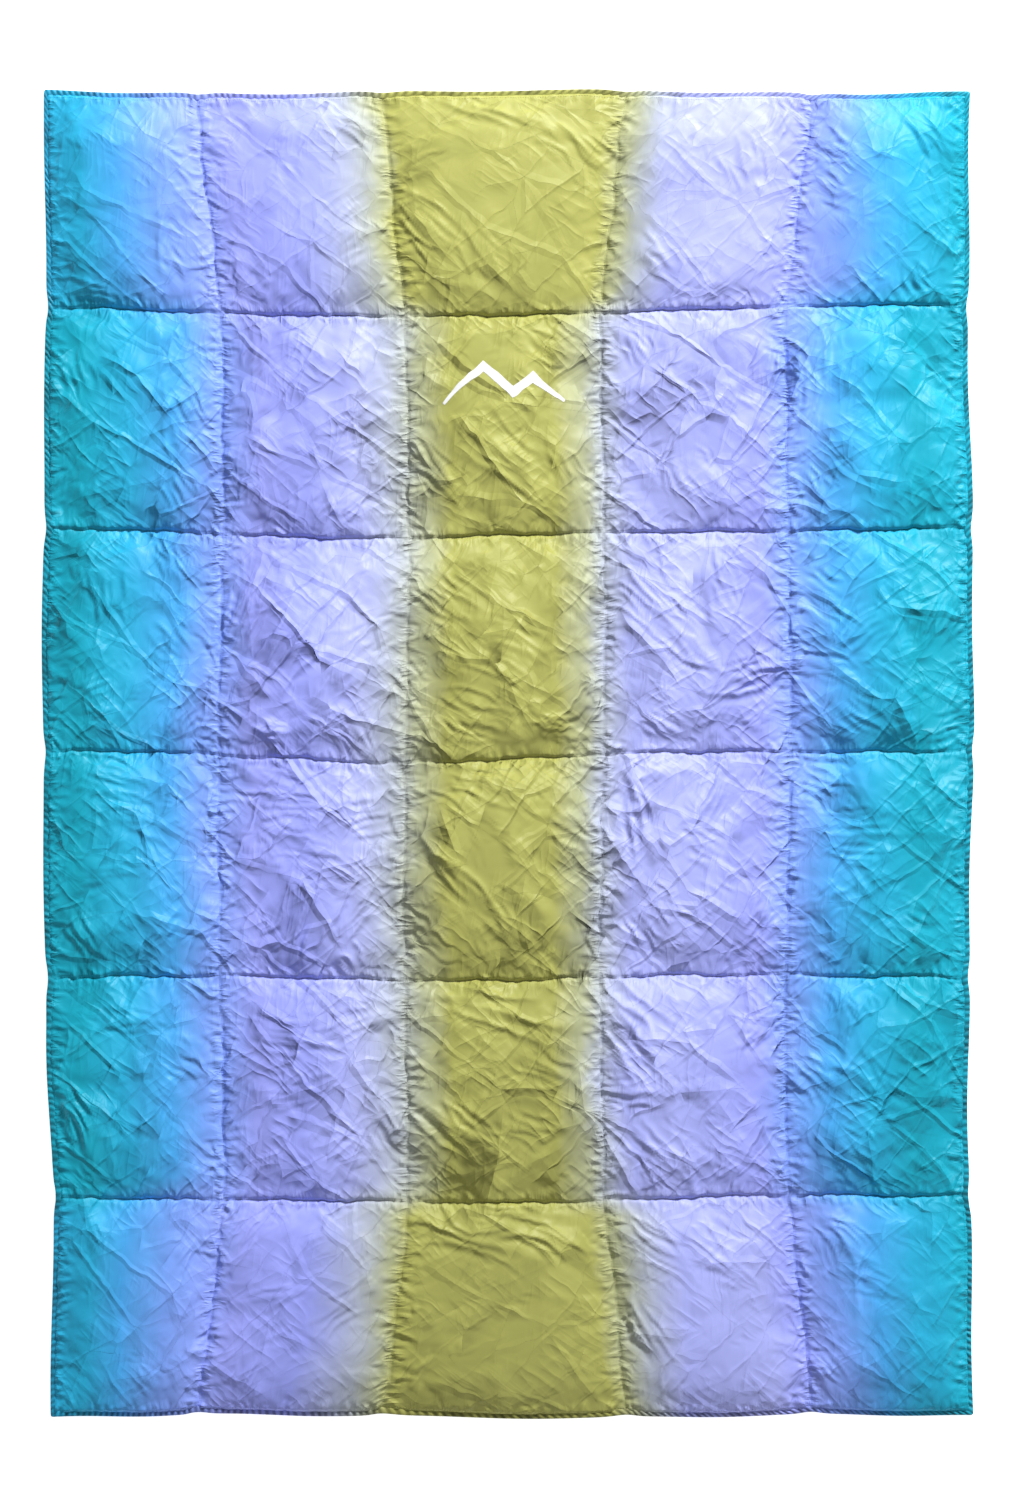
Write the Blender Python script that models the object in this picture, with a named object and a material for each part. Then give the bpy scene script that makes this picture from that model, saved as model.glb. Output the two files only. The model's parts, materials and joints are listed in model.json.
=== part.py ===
"""Down camp blanket: two sheets of fabric sewn through in chambers that hold down, with a folded hem all round.

The blanket lies flat on the floor plane z = 0, with its middle at x = y = 0 and its head end towards +Y.
Rows are counted from the head and chambers from the left. The rows turn on the cross seams.
Run with: blender --background --python part.py
"""

import math

import bmesh
import bpy
import numpy as np
from mathutils import Vector

# ---- driving dimensions, in metres ----
WIDTH = 1.400
LENGTH = 2.000
ROWS = 6
CENTRE_CHAMBER_WIDTH = 0.296  # between the two inner lengthwise seams
SIDE_CHAMBER_WIDTH = 0.280  # between an inner and an outer lengthwise seam
END_FLARE = 0.036  # how far a lengthwise seam leans outwards along the first and last rows

CROWN_HEIGHT = 0.030  # loft of a chamber's middle over its own seams
SEAM_HEIGHT = 0.006  # a cross seam is drawn up off the floor by this much
SEAM_LIFT_REACH = 0.060  # and comes back down to the floor over this distance
FABRIC_THICKNESS = 0.0006
THREAD_RADIUS = 0.0005
GAP = 0.0003  # between two pieces that touch

HEM_WIDTH = 0.010
HEM_MARGIN = 0.006  # from the hem's inner edge to where the chamber begins to rise
CROSS_SEAM_MARGIN = 0.010  # from a cross seam to where the chamber begins to rise
LENGTHWISE_SEAM_MARGIN = 0.005
LIP_START = 0.004  # the face sheet stops this far from the line that a row turns on
HINGE_CLEARANCE = 0.00045  # and the back sheet this far
HINGE_LIP_THICKNESS = 0.0002  # the back sheet is pared down to this at the fold
HEM_END_CLEARANCE = 0.0065  # the side hem stops this far from the fold

PRINT_WIDTH = 0.190
PRINT_HEIGHT = 0.066
PRINT_RISE = 0.056  # the print's middle lies this far towards the head from its row's middle
PRINT_ROW = 2
PRINT_THICKNESS = 0.0003
PRINT_GAP = 0.0004  # over the face, wider than other gaps because the film lies over many facets
PRINT_LINE = (  # knots as shares of the print's size from its middle, and the line's width there
    (-0.48, -0.42, 0.004),
    (-0.17, 0.40, 0.012),
    (0.05, -0.16, 0.015),
    (0.21, 0.16, 0.012),
    (0.47, -0.42, 0.004),
)

CROWN_STEPS = 4  # facets across a chamber
LENGTHWISE_STEPS = 3  # facets along a chamber, between the ends of the lifted strips
THREAD_SIDES = 6

# ---- worked out from them ----
ROW_LENGTH = LENGTH / ROWS
PITCH_LINES = [LENGTH / 2 - ROW_LENGTH * k for k in range(ROWS + 1)]
INNER_SEAM = CENTRE_CHAMBER_WIDTH / 2
OUTER_SEAM = INNER_SEAM + SIDE_CHAMBER_WIDTH
LENGTHWISE_SEAMS = (-OUTER_SEAM, -INNER_SEAM, INNER_SEAM, OUTER_SEAM)
THREAD_BESIDE_CHAMBER = THREAD_RADIUS + GAP * 1.5
THREAD_INSET = CROSS_SEAM_MARGIN - THREAD_BESIDE_CHAMBER
THREAD_ROOM = 2 * THREAD_RADIUS + 2 * GAP
SEAM_POCKET = GAP + (THREAD_ROOM - GAP) * (CROSS_SEAM_MARGIN - LIP_START) / (
    THREAD_INSET - THREAD_RADIUS - LIP_START
)
HEM_WALL = FABRIC_THICKNESS

FACE_COLOURS = {"teal": (0.05, 0.35, 0.45), "periwinkle": (0.33, 0.42, 0.68), "olive": (0.42, 0.43, 0.13)}
BACK_COLOUR = (0.16, 0.17, 0.18)
DOWN_COLOUR = (0.86, 0.85, 0.82)
THREAD_COLOUR = (0.45, 0.52, 0.56)
HEM_COLOUR = (0.05, 0.30, 0.38)
PRINT_COLOUR = (0.90, 0.91, 0.92)


def material(name, colour, roughness=0.5, metallic=0.0):
    """A Principled material of one colour."""
    made = bpy.data.materials.new(name)
    made.use_nodes = True
    shader = made.node_tree.nodes["Principled BSDF"]
    shader.inputs["Base Color"].default_value = (*colour, 1.0)
    shader.inputs["Roughness"].default_value = roughness
    shader.inputs["Metallic"].default_value = metallic
    return made


def is_end_row(row):
    return row in (1, ROWS)


def row_ends(row):
    """The row's foot side and head side along Y."""
    return PITCH_LINES[row], PITCH_LINES[row - 1]


def end_distances(row, y):
    """How far y lies from the folds at the row's foot side and head side; a hemmed side is never near."""
    foot, head = row_ends(row)
    to_foot = math.inf if row == ROWS else y - foot
    to_head = math.inf if row == 1 else head - y
    return to_foot, to_head


def base_height(row, y):
    """The underside: on the floor, and drawn up in a straight slope to the fold line at each cross seam."""
    near = min(end_distances(row, y))
    top = SEAM_HEIGHT - HINGE_LIP_THICKNESS / 2
    slope = (SEAM_LIFT_REACH - near) / (SEAM_LIFT_REACH - HINGE_CLEARANCE)
    return top * min(1.0, max(0.0, slope))


def back_thickness(row, y):
    """The back sheet's wall, pared down between the face sheet's lip and the fold line."""
    near = min(end_distances(row, y))
    share = (near - HINGE_CLEARANCE) / (LIP_START - HINGE_CLEARANCE)
    return HINGE_LIP_THICKNESS + (FABRIC_THICKNESS - HINGE_LIP_THICKNESS) * min(1.0, max(0.0, share))


def seam_x(row, seam, y):
    """A lengthwise seam's x at y: straight in the middle rows, leaning outwards in the end rows."""
    x = LENGTHWISE_SEAMS[seam]
    foot, head = row_ends(row)
    share = {1: (y - foot) / ROW_LENGTH, ROWS: (head - y) / ROW_LENGTH}.get(row, 0.0)
    return x + math.copysign(END_FLARE, x) * share


def chamber_sides(row, chamber, y):
    """The chamber's left and right margin lines at y, between which it rises."""
    rim = WIDTH / 2 - HEM_WIDTH - HEM_MARGIN
    last = len(LENGTHWISE_SEAMS)
    left = -rim if chamber == 0 else seam_x(row, chamber - 1, y) + LENGTHWISE_SEAM_MARGIN
    right = rim if chamber == last else seam_x(row, chamber, y) - LENGTHWISE_SEAM_MARGIN
    return left, right


def chamber_ends(row):
    """The row's margin lines along Y, between which its chambers rise."""
    foot, head = row_ends(row)
    foot_margin = HEM_WIDTH + HEM_MARGIN if row == ROWS else CROSS_SEAM_MARGIN
    head_margin = HEM_WIDTH + HEM_MARGIN if row == 1 else CROSS_SEAM_MARGIN
    return foot + foot_margin, head - head_margin


def stations_along(row):
    """The Y stations between the row's margin lines: the ends of the lifted strips, and even steps between."""
    low, high = chamber_ends(row)
    foot, head = row_ends(row)
    flat_low = foot + SEAM_LIFT_REACH
    flat_high = head - SEAM_LIFT_REACH
    return [low, *np.linspace(flat_low, flat_high, LENGTHWISE_STEPS + 1), high]


def fabric_edges(row, lip):
    """Where a sheet's foot and head edges lie: lip from a fold line, or just inside the hem's outer wall."""
    foot, head = row_ends(row)
    inside_hem = HEM_WALL + GAP
    return foot + (inside_hem if row == ROWS else lip), head - (inside_hem if row == 1 else lip)


def flat_edges(row):
    """Where a hemmed side's flat margin begins, or None at a fold."""
    foot, head = row_ends(row)
    return (foot + HEM_WIDTH if row == ROWS else None), (head - HEM_WIDTH if row == 1 else None)


def stations_of_sheet(row, lip):
    """All the Y stations of a sheet, edge to edge."""
    low, high = fabric_edges(row, lip)
    flat_low, flat_high = flat_edges(row)
    line = [low, *([flat_low] if flat_low is not None else []), *stations_along(row)]
    return line + ([flat_high] if flat_high is not None else []) + [high]


def crown(row, chamber, u, y):
    """The chamber's rise over its margins: a half sine across times a half sine along."""
    low, high = chamber_ends(row)
    along = (y - low) / (high - low)
    return CROWN_HEIGHT * math.sin(math.pi * u) * math.sin(math.pi * min(1.0, max(0.0, along)))


def stations_across(row, y):
    """(x, chamber, u) from the left edge to the right at y. Off a chamber, the chamber is None."""
    half = WIDTH / 2
    line = [(-half + HEM_WALL + GAP, None, 0.0), (-half + HEM_WIDTH, None, 0.0)]
    for chamber in range(len(LENGTHWISE_SEAMS) + 1):
        left, right = chamber_sides(row, chamber, y)
        line += [(left + (right - left) * u, chamber, u) for u in np.linspace(0, 1, CROWN_STEPS + 1)]
        if chamber < len(LENGTHWISE_SEAMS):
            line.append((seam_x(row, chamber, y), chamber, 0.0))
    return line + [(half - HEM_WIDTH, None, 0.0), (half - HEM_WALL - GAP, None, 0.0)]


def slab(name, columns, lines, place):
    """A closed sheet: a grid of columns by lines, extruded once. place(i, j) gives x, y, under and over."""
    bm = bmesh.new()
    bmesh.ops.create_grid(bm, x_segments=columns - 1, y_segments=lines - 1, size=1.0)
    over_height = bm.verts.layers.float.new("over_height")
    for vert in bm.verts:
        i = round((vert.co.x + 1) / 2 * (columns - 1))
        j = round((vert.co.y + 1) / 2 * (lines - 1))
        x, y, under, over = place(i, j)
        vert.co = (x, y, under)
        vert[over_height] = over
    grown = bmesh.ops.extrude_face_region(bm, geom=bm.faces[:], use_keep_orig=True)
    for vert in (item for item in grown["geom"] if isinstance(item, bmesh.types.BMVert)):
        vert.co.z = vert[over_height]
    bmesh.ops.recalc_face_normals(bm, faces=bm.faces)
    return object_of(name, bm)


def object_of(name, bm):
    mesh = bpy.data.meshes.new(name)
    bm.to_mesh(mesh)
    bm.free()
    made = bpy.data.objects.new(name, mesh)
    bpy.context.collection.objects.link(made)
    return made


def finish(made, surface, hinge, smooth=False):
    """Give the piece its material and hang it on its row's hinge, keeping its place."""
    made.data.materials.append(surface)
    if smooth:
        made.data.shade_smooth()
        made.data.set_sharp_from_angle(angle=math.radians(40))
    if hinge is not None:
        made.parent = hinge
        made.location = -hinge.matrix_world.translation
    return made


def pocket(row, chamber, y):
    """The room between the sheets: thread-high over the chambers and seams, closed up at the edges."""
    low, high = chamber_ends(row)
    inside = low - 1e-7 <= y <= high + 1e-7 and chamber is not None
    return SEAM_POCKET if inside else GAP


def face_under(row, x_station, y):
    """The underside of the face sheet at one station."""
    _, chamber, u = x_station
    rise = 0.0 if chamber is None else crown(row, chamber, u, y)
    return base_height(row, y) + FABRIC_THICKNESS + pocket(row, chamber, y) + rise


def face_fabric(row, surface, hinge):
    """The upper sheet over one row: a crown over each chamber and a valley at each lengthwise seam."""
    along = stations_of_sheet(row, LIP_START)
    across = [stations_across(row, y) for y in along]

    def place(i, j):
        under = face_under(row, across[j][i], along[j])
        return across[j][i][0], along[j], under, under + FABRIC_THICKNESS

    return finish(slab(f"face_fabric_row_{row}", len(across[0]), len(along), place), surface, hinge, True)


def back_fabric(row, surface, hinge):
    """The lower sheet of one row: flat on the floor, and drawn up to the fold lines."""
    inner = stations_of_sheet(row, LIP_START)
    low, high = fabric_edges(row, HINGE_CLEARANCE)
    along = sorted({low, high, *inner})
    half = WIDTH / 2 - HEM_WALL - GAP

    def place(i, j):
        under = base_height(row, along[j])
        return (-half, half)[i], along[j], under, under + back_thickness(row, along[j])

    return finish(slab(f"back_fabric_row_{row}", 2, len(along), place), surface, hinge)


def down_fill(row, chamber, surface, hinge):
    """The wad of down in one chamber, a gap clear of both sheets and of the thread round it."""
    along = stations_along(row)

    def place(i, j):
        y = along[j]
        u = i / CROWN_STEPS
        left, right = chamber_sides(row, chamber, y)
        x = left + (right - left) * u
        under = base_height(row, y) + FABRIC_THICKNESS + GAP
        over = face_under(row, (x, chamber, u), y) - GAP
        return x, y, under, over

    name = f"down_fill_row_{row}_chamber_{chamber + 1}"
    return finish(slab(name, CROWN_STEPS + 1, len(along), place), surface, hinge, True)


def thread_run(name, points, lengthwise):
    """A length of sewing thread along points: a tube of round sections, upright across its run.

    A lengthwise run's section is turned by half a side, so that no two faces lie in one plane where runs cross.
    """
    first = math.pi / THREAD_SIDES if lengthwise else 0.0
    turns = [first + 2 * math.pi * k / THREAD_SIDES for k in range(THREAD_SIDES)]
    ring = [(THREAD_RADIUS * math.cos(turn), THREAD_RADIUS * math.sin(turn)) for turn in turns]
    sections = [
        [(x + out, y, z + up) if lengthwise else (x, y + out, z + up) for out, up in ring]
        for x, y, z in points
    ]
    return swept(name, sections)


def thread_height(row, y):
    return base_height(row, y) + FABRIC_THICKNESS + GAP + THREAD_RADIUS


def quilting_thread(row, surface, hinge):
    """The row's sewing: four lengthwise runs joined by one run across at the head side, between the sheets."""
    foot, head = row_ends(row)
    low, high = chamber_ends(row)
    cross_y = high + THREAD_BESIDE_CHAMBER
    first_y = low if row == ROWS else foot + THREAD_INSET
    reach = WIDTH / 2 - HEM_WIDTH - HEM_MARGIN - GAP
    cross = [(x, cross_y, thread_height(row, cross_y)) for x in (-reach, reach)]
    made = thread_run(f"quilting_thread_row_{row}", cross, False)
    last_y = cross_y + THREAD_RADIUS / 3
    stops = [first_y, foot + SEAM_LIFT_REACH, head - SEAM_LIFT_REACH, last_y]
    for seam in range(len(LENGTHWISE_SEAMS)):
        points = [(seam_x(row, seam, y), y, thread_height(row, y)) for y in stops]
        run = thread_run(f"lengthwise_run_{row}_{seam + 1}", points, True)
        run.hide_render = True
        run.display_type = "WIRE"
        join = made.modifiers.new(run.name, "BOOLEAN")
        join.operation = "UNION"
        join.object = run
    return finish(made, surface, hinge)


def hem_section(outwards, inwards_x, inwards_y, height):
    """The folded hem's section: a wall down the outer edge and a flap over the sheets, as offsets from the edge."""
    x, y = outwards
    stack = 2 * FABRIC_THICKNESS + 2 * GAP
    steps = ((0, 0), (HEM_WALL, 0), (HEM_WALL, stack), (HEM_WIDTH, stack), (HEM_WIDTH, stack + HEM_WALL))
    steps += ((0, stack + HEM_WALL),)
    return [(x + inwards_x * inward, y + inwards_y * inward, height + up) for inward, up in steps]


def swept(name, sections):
    """A solid whose cross-section passes through each of sections in turn, closed at both ends."""
    bm = bmesh.new()
    rings = [[bm.verts.new(point) for point in section] for section in sections]
    count = len(rings[0])
    for before, after in zip(rings, rings[1:]):
        for k in range(count):
            following = (k + 1) % count
            bm.faces.new((before[k], before[following], after[following], after[k]))
    bm.faces.new(reversed(rings[0]))
    bm.faces.new(rings[-1])
    bmesh.ops.recalc_face_normals(bm, faces=bm.faces)
    return object_of(name, bm)


def side_hem(row, side, surface, hinge):
    """The hem along one side of a middle row. side is -1 on the left and +1 on the right."""
    foot, head = row_ends(row)
    stops = (
        foot + HEM_END_CLEARANCE,
        foot + SEAM_LIFT_REACH,
        head - SEAM_LIFT_REACH,
        head - HEM_END_CLEARANCE,
    )
    sections = [hem_section((side * WIDTH / 2, y), -side, 0, base_height(row, y)) for y in stops]
    name = f"hem_{'left' if side < 0 else 'right'}_row_{row}"
    return finish(swept(name, sections), surface, hinge)


def end_hem(row, surface, hinge):
    """The hem round three sides of an end row, mitred at its two corners."""
    sign = 1 if row == 1 else -1
    fold_side = PITCH_LINES[row] if row == 1 else PITCH_LINES[row - 1]
    edge = sign * LENGTH / 2
    half = WIDTH / 2
    stops = (fold_side + sign * HEM_END_CLEARANCE, fold_side + sign * SEAM_LIFT_REACH)
    left = [hem_section((-half, y), 1, 0, base_height(row, y)) for y in stops]
    right = [hem_section((half, y), -1, 0, base_height(row, y)) for y in reversed(stops)]
    corners = [hem_section((x, edge), -math.copysign(1, x), -sign, 0.0) for x in (-half, half)]
    name = "hem_head" if row == 1 else "hem_foot"
    return finish(swept(name, left + corners + right), surface, hinge)


def print_outline(middle):
    """The edge of a line that draws two plain peaks, moved half the line's width either way at each knot."""
    knots = [Vector((x * PRINT_WIDTH, middle + y * PRINT_HEIGHT)) for x, y, _ in PRINT_LINE]
    ways = [(after - before).normalized() for before, after in zip(knots, knots[1:])]
    sides = [Vector((-way.y, way.x)) for way in ways]
    reaches = []
    for before, after, (_, _, width) in zip([sides[0], *sides], [*sides, sides[-1]], PRINT_LINE):
        mitre = (before + after).normalized()
        reaches.append(mitre * (width / 2 / mitre.dot(before)))
    upper = [knot + reach for knot, reach in zip(knots, reaches)]
    lower = [knot - reach for knot, reach in zip(knots, reaches)]
    return upper + lower[::-1]


def printed_mark(surface, hinge):
    """A thin film of two plain peaks, which lies a gap over the middle chamber and follows its facets."""
    row = PRINT_ROW
    chamber = len(LENGTHWISE_SEAMS) // 2
    along = stations_along(row)
    across = [stations_across(row, y) for y in along]
    first = next(i for i, station in enumerate(across[0]) if station[1] == chamber)
    columns = CROWN_STEPS + 1

    def place(i, j):
        station = across[j][first + i]
        under = face_under(row, station, along[j]) + FABRIC_THICKNESS + PRINT_GAP
        return station[0], along[j], under, under + PRINT_THICKNESS

    made = slab("printed_mark", columns, len(along), place)
    foot, head = row_ends(row)
    middle = (foot + head) / 2 + PRINT_RISE
    height = 2 * (CROWN_HEIGHT + SEAM_HEIGHT + SEAM_POCKET)
    outline = print_outline(middle)
    cutter = swept("print_outline", [[(x, y, z) for x, y in outline] for z in (-height, height)])
    cutter.hide_render = True
    cutter.display_type = "WIRE"
    cut = made.modifiers.new("outline", "BOOLEAN")
    cut.operation = "INTERSECT"
    cut.object = cutter
    return finish(made, surface, hinge)


def hinge_empty(row, parent):
    """The line that a row turns on, at the cross seam on its foot side."""
    made = bpy.data.objects.new(f"fold_line_{row}", None)
    bpy.context.collection.objects.link(made)
    place = (0.0, PITCH_LINES[row], SEAM_HEIGHT)
    if parent is None:
        made.location = place
    else:
        made.parent = parent
        made.location = np.subtract(place, parent.matrix_world.translation)
    bpy.context.view_layer.update()
    return made


def row_colour(share):
    """From teal at the sides, over periwinkle, to olive in the middle."""
    names = ("teal", "periwinkle", "olive")
    return FACE_COLOURS[names[min(2, int(share * 3))]]


def main():
    for old in list(bpy.data.objects):
        bpy.data.objects.remove(old)
    hinge = None
    for row in range(ROWS, 0, -1):
        hinge = None if row == ROWS else hinge_empty(row, hinge)
        face = material(f"face_taffeta_{row}", row_colour(1 - abs(row - 3.5) / 3.5), 0.45)
        back = material(f"back_taffeta_{row}", BACK_COLOUR, 0.5)
        down = material(f"down_{row}", DOWN_COLOUR, 0.9)
        thread = material(f"thread_{row}", THREAD_COLOUR, 0.6)
        hem = material(f"hem_taffeta_{row}", HEM_COLOUR, 0.45)
        face_fabric(row, face, hinge)
        back_fabric(row, back, hinge)
        for chamber in range(len(LENGTHWISE_SEAMS) + 1):
            down_fill(row, chamber, down, hinge)
        quilting_thread(row, thread, hinge)
        if is_end_row(row):
            end_hem(row, hem, hinge)
        else:
            side_hem(row, -1, hem, hinge)
            side_hem(row, 1, hem, hinge)
        if row == PRINT_ROW:
            printed_mark(material("white_print", PRINT_COLOUR, 0.6), hinge)


main()
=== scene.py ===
"""Down camp blanket: the looks.

The face cloth is one dyed sheet, settled by cloth simulation over its seams, cut at mid row into pieces that
each span one cross seam. Below it are the back sheet and a wad of down in each chamber; round it runs a
folded, topstitched hem. Every surface is worked out on the flat cut of the cloth (across, along, in metres)
and then laid in place, so that seams, dye and weave stay together.
"""

import json
import math

import bpy
import numpy as np
from bpy.props import FloatProperty, FloatVectorProperty, IntProperty, PointerProperty
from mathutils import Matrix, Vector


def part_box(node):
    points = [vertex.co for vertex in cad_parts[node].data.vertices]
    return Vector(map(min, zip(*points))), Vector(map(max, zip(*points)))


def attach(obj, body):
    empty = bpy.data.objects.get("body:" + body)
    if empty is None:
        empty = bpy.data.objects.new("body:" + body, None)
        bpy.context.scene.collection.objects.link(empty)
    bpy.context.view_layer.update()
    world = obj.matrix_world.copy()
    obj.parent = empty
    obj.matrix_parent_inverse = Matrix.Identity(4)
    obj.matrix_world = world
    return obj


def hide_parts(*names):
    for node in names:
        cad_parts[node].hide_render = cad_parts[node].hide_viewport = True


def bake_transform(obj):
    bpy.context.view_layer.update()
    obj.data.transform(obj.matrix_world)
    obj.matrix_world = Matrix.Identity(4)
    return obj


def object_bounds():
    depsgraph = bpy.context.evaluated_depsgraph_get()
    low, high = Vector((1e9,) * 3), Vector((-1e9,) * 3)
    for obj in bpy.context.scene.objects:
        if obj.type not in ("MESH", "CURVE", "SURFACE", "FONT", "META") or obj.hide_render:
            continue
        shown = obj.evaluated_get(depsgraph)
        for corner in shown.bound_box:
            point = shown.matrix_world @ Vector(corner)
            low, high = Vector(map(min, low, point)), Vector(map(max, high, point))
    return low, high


bl_info = {
    "name": "Down Camp Blanket",
    "version": (1, 0, 0),
    "blender": (4, 5, 0),
    "location": "View3D > Sidebar > Blanket",
    "description": "Builds a sewn-through down camp blanket with dyed face cloth, hem and stitching",
    "category": "Object",
}

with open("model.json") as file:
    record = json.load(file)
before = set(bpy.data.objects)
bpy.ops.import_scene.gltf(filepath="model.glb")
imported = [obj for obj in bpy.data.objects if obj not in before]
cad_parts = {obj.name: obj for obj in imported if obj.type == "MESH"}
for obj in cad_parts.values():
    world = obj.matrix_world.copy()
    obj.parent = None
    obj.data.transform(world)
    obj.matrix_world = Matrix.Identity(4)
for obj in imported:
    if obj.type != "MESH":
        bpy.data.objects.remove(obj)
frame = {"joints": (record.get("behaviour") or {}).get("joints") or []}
CAD_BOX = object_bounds()

ROWS, COLUMNS = 6, 5
HALF_WIDTH = CAD_BOX[1].x
HALF_LENGTH = CAD_BOX[1].y
HEM_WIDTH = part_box("hem_left_row_3")[1].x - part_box("hem_left_row_3")[0].x


def seam_between(row, chamber):
    """The middle between two neighbouring wads of down, where the lengthwise seam runs."""
    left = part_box(f"down_fill_row_{row}_chamber_{chamber}")[1].x
    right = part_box(f"down_fill_row_{row}_chamber_{chamber + 1}")[0].x
    return (left + right) / 2


FOLDS = {joint["child"]: joint["pos_m"] for joint in frame["joints"]}
CROSS_SEAMS = [FOLDS[f"row_{row}"][1] for row in range(ROWS - 1, 0, -1)]  # from the foot
FOLD_HEIGHT = FOLDS["row_1"][2]
LENGTHWISE_SEAMS = [seam_between(3, chamber) for chamber in range(1, COLUMNS)]
END_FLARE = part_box("down_fill_row_1_chamber_3")[1].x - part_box("down_fill_row_3_chamber_3")[1].x
UNDER_HEM = HEM_WIDTH * 0.65  # the cloth's raw edge lies this far inside the hem's fold
CLOTH_HALF_WIDTH = HALF_WIDTH - UNDER_HEM
CLOTH_HALF_LENGTH = HALF_LENGTH - UNDER_HEM
ACROSS_LINES = [-CLOTH_HALF_WIDTH, *LENGTHWISE_SEAMS, CLOTH_HALF_WIDTH]
ALONG_LINES = [-CLOTH_HALF_LENGTH, *CROSS_SEAMS, CLOTH_HALF_LENGTH]
MID_ROWS = [(low + high) / 2 for low, high in zip(ALONG_LINES, ALONG_LINES[1:])]
FOLD_REACH = 0.040  # the down keeps this far clear of each cross seam and of the cloth's ends


# ---------------------------------------------------------------- settings
def colour_of(label, hexadecimal):
    """A colour setting whose default is the given sRGB hex colour, kept as linear light."""
    srgb = [int(hexadecimal[k : k + 2], 16) / 255 for k in (0, 2, 4)]
    linear = [c / 12.92 if c <= 0.04045 else ((c + 0.055) / 1.055) ** 2.4 for c in srgb]
    return FloatVectorProperty(
        name=label, description=f"Dye: {label.lower()}", subtype="COLOR", size=3, min=0, max=1, default=linear
    )


class BlanketCloth(bpy.types.PropertyGroup):
    """Sizes of the quilted cloth."""

    step: FloatProperty(
        name="Cloth step", description="Spacing of the simulated cloth", default=0.006, unit="LENGTH"
    )
    slack: FloatProperty(
        name="Slack", description="Extra cloth sewn into each chamber, as a share", default=0.042
    )
    pressure: FloatProperty(name="Pressure", description="How hard the down pushes", default=2.0)
    frames: IntProperty(name="Steps", description="Simulation steps that settle the cloth", default=26)
    loft: FloatProperty(
        name="Loft", description="Stuffed height of a full chamber", default=0.017, unit="LENGTH"
    )
    tallest: FloatProperty(
        name="Tallest", description="Softest limit on a chamber's height", default=0.036, unit="LENGTH"
    )
    seam_rise: FloatProperty(
        name="Seam rise", description="Lengthwise seams over cross seams", default=0.0025, unit="LENGTH"
    )
    edge_height: FloatProperty(
        name="Edge height", description="Height of the hem's middle line", default=0.0026, unit="LENGTH"
    )
    thickness: FloatProperty(
        name="Cloth thickness", description="Of either sheet", default=0.0006, unit="LENGTH"
    )


class BlanketTrim(bpy.types.PropertyGroup):
    """Sizes of the hem, the stitches and the print."""

    hem_thickness: FloatProperty(
        name="Hem thickness", description="Of the folded edge", default=0.0034, unit="LENGTH"
    )
    pucker_pitch: FloatProperty(
        name="Pucker pitch", description="Between two puckers of the hem", default=0.0105, unit="LENGTH"
    )
    pucker_depth: FloatProperty(
        name="Pucker depth", description="Of the hem's slanting puckers", default=0.0017, unit="LENGTH"
    )
    stitch: FloatProperty(
        name="Stitch", description="Length of one stitch and its gap", default=0.0032, unit="LENGTH"
    )
    thread: FloatProperty(
        name="Thread radius", description="Half the thread's thickness", default=0.00032, unit="LENGTH"
    )
    print_width: FloatProperty(
        name="Print width", description="Of the printed peaks", default=0.190, unit="LENGTH"
    )
    print_height: FloatProperty(
        name="Print height", description="Of the printed peaks", default=0.066, unit="LENGTH"
    )


class BlanketColours(bpy.types.PropertyGroup):
    """The dyes of the face cloth, and the plain colours."""

    dye_strength: FloatProperty(
        name="Dye strength", description="Saturation of the face cloth's dyes", default=1.0, min=0, max=2
    )
    teal: colour_of("Teal", "1aabc6")
    aqua: colour_of("Aqua", "2cb0dc")
    sky: colour_of("Sky blue", "4caaf0")
    cornflower: colour_of("Cornflower", "7ca4f8")
    lavender: colour_of("Lavender", "a0a9fd")
    pale: colour_of("Pale lavender", "b0b7fc")
    mist: colour_of("Mist grey", "b2bad2")
    sage: colour_of("Sage", "b1b694")
    olive: colour_of("Olive", "adae5e")
    back: colour_of("Back cloth", "4a8ea8")
    down: colour_of("Down", "eeebe4")
    white_print: colour_of("Print", "f4f5f6")


class BlanketStage(bpy.types.PropertyGroup):
    """Light and camera."""

    camera_height: FloatProperty(
        name="Camera height", description="Over the floor", default=7.0, unit="LENGTH"
    )
    view_length: FloatProperty(
        name="View length", description="Floor length in view", default=2.266, unit="LENGTH"
    )
    key: FloatProperty(name="Key light", description="Power of the main light in watts", default=775.0)
    fill: FloatProperty(name="Fill light", description="Power of the fill light in watts", default=40.0)
    sky: FloatProperty(name="Room light", description="Strength of the even light", default=0.20)


# ---------------------------------------------------------------- numbers
def smoothstep(low, high, value):
    """0 below low, 1 above high, and an even S between."""
    share = np.clip((value - low) / (high - low), 0.0, 1.0)
    return share * share * (3 - 2 * share)


def value_noise(across, along, size, seed):
    """Even random bumps about size wide, from -1 to 1: random heights on a square lattice, eased between."""
    draw = np.random.default_rng(seed)
    cells = int(4 * HALF_LENGTH / size) + 4
    lattice = draw.uniform(-1, 1, (cells, cells))
    x = (across + 2 * HALF_WIDTH) / size
    y = (along + 2 * HALF_LENGTH) / size
    i = np.clip(x.astype(int), 0, cells - 2)
    j = np.clip(y.astype(int), 0, cells - 2)
    fx = smoothstep(0, 1, x - i)
    fy = smoothstep(0, 1, y - j)
    low = lattice[i, j] * (1 - fx) + lattice[i + 1, j] * fx
    high = lattice[i, j + 1] * (1 - fx) + lattice[i + 1, j + 1] * fx
    return low * (1 - fy) + high * fy


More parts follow.
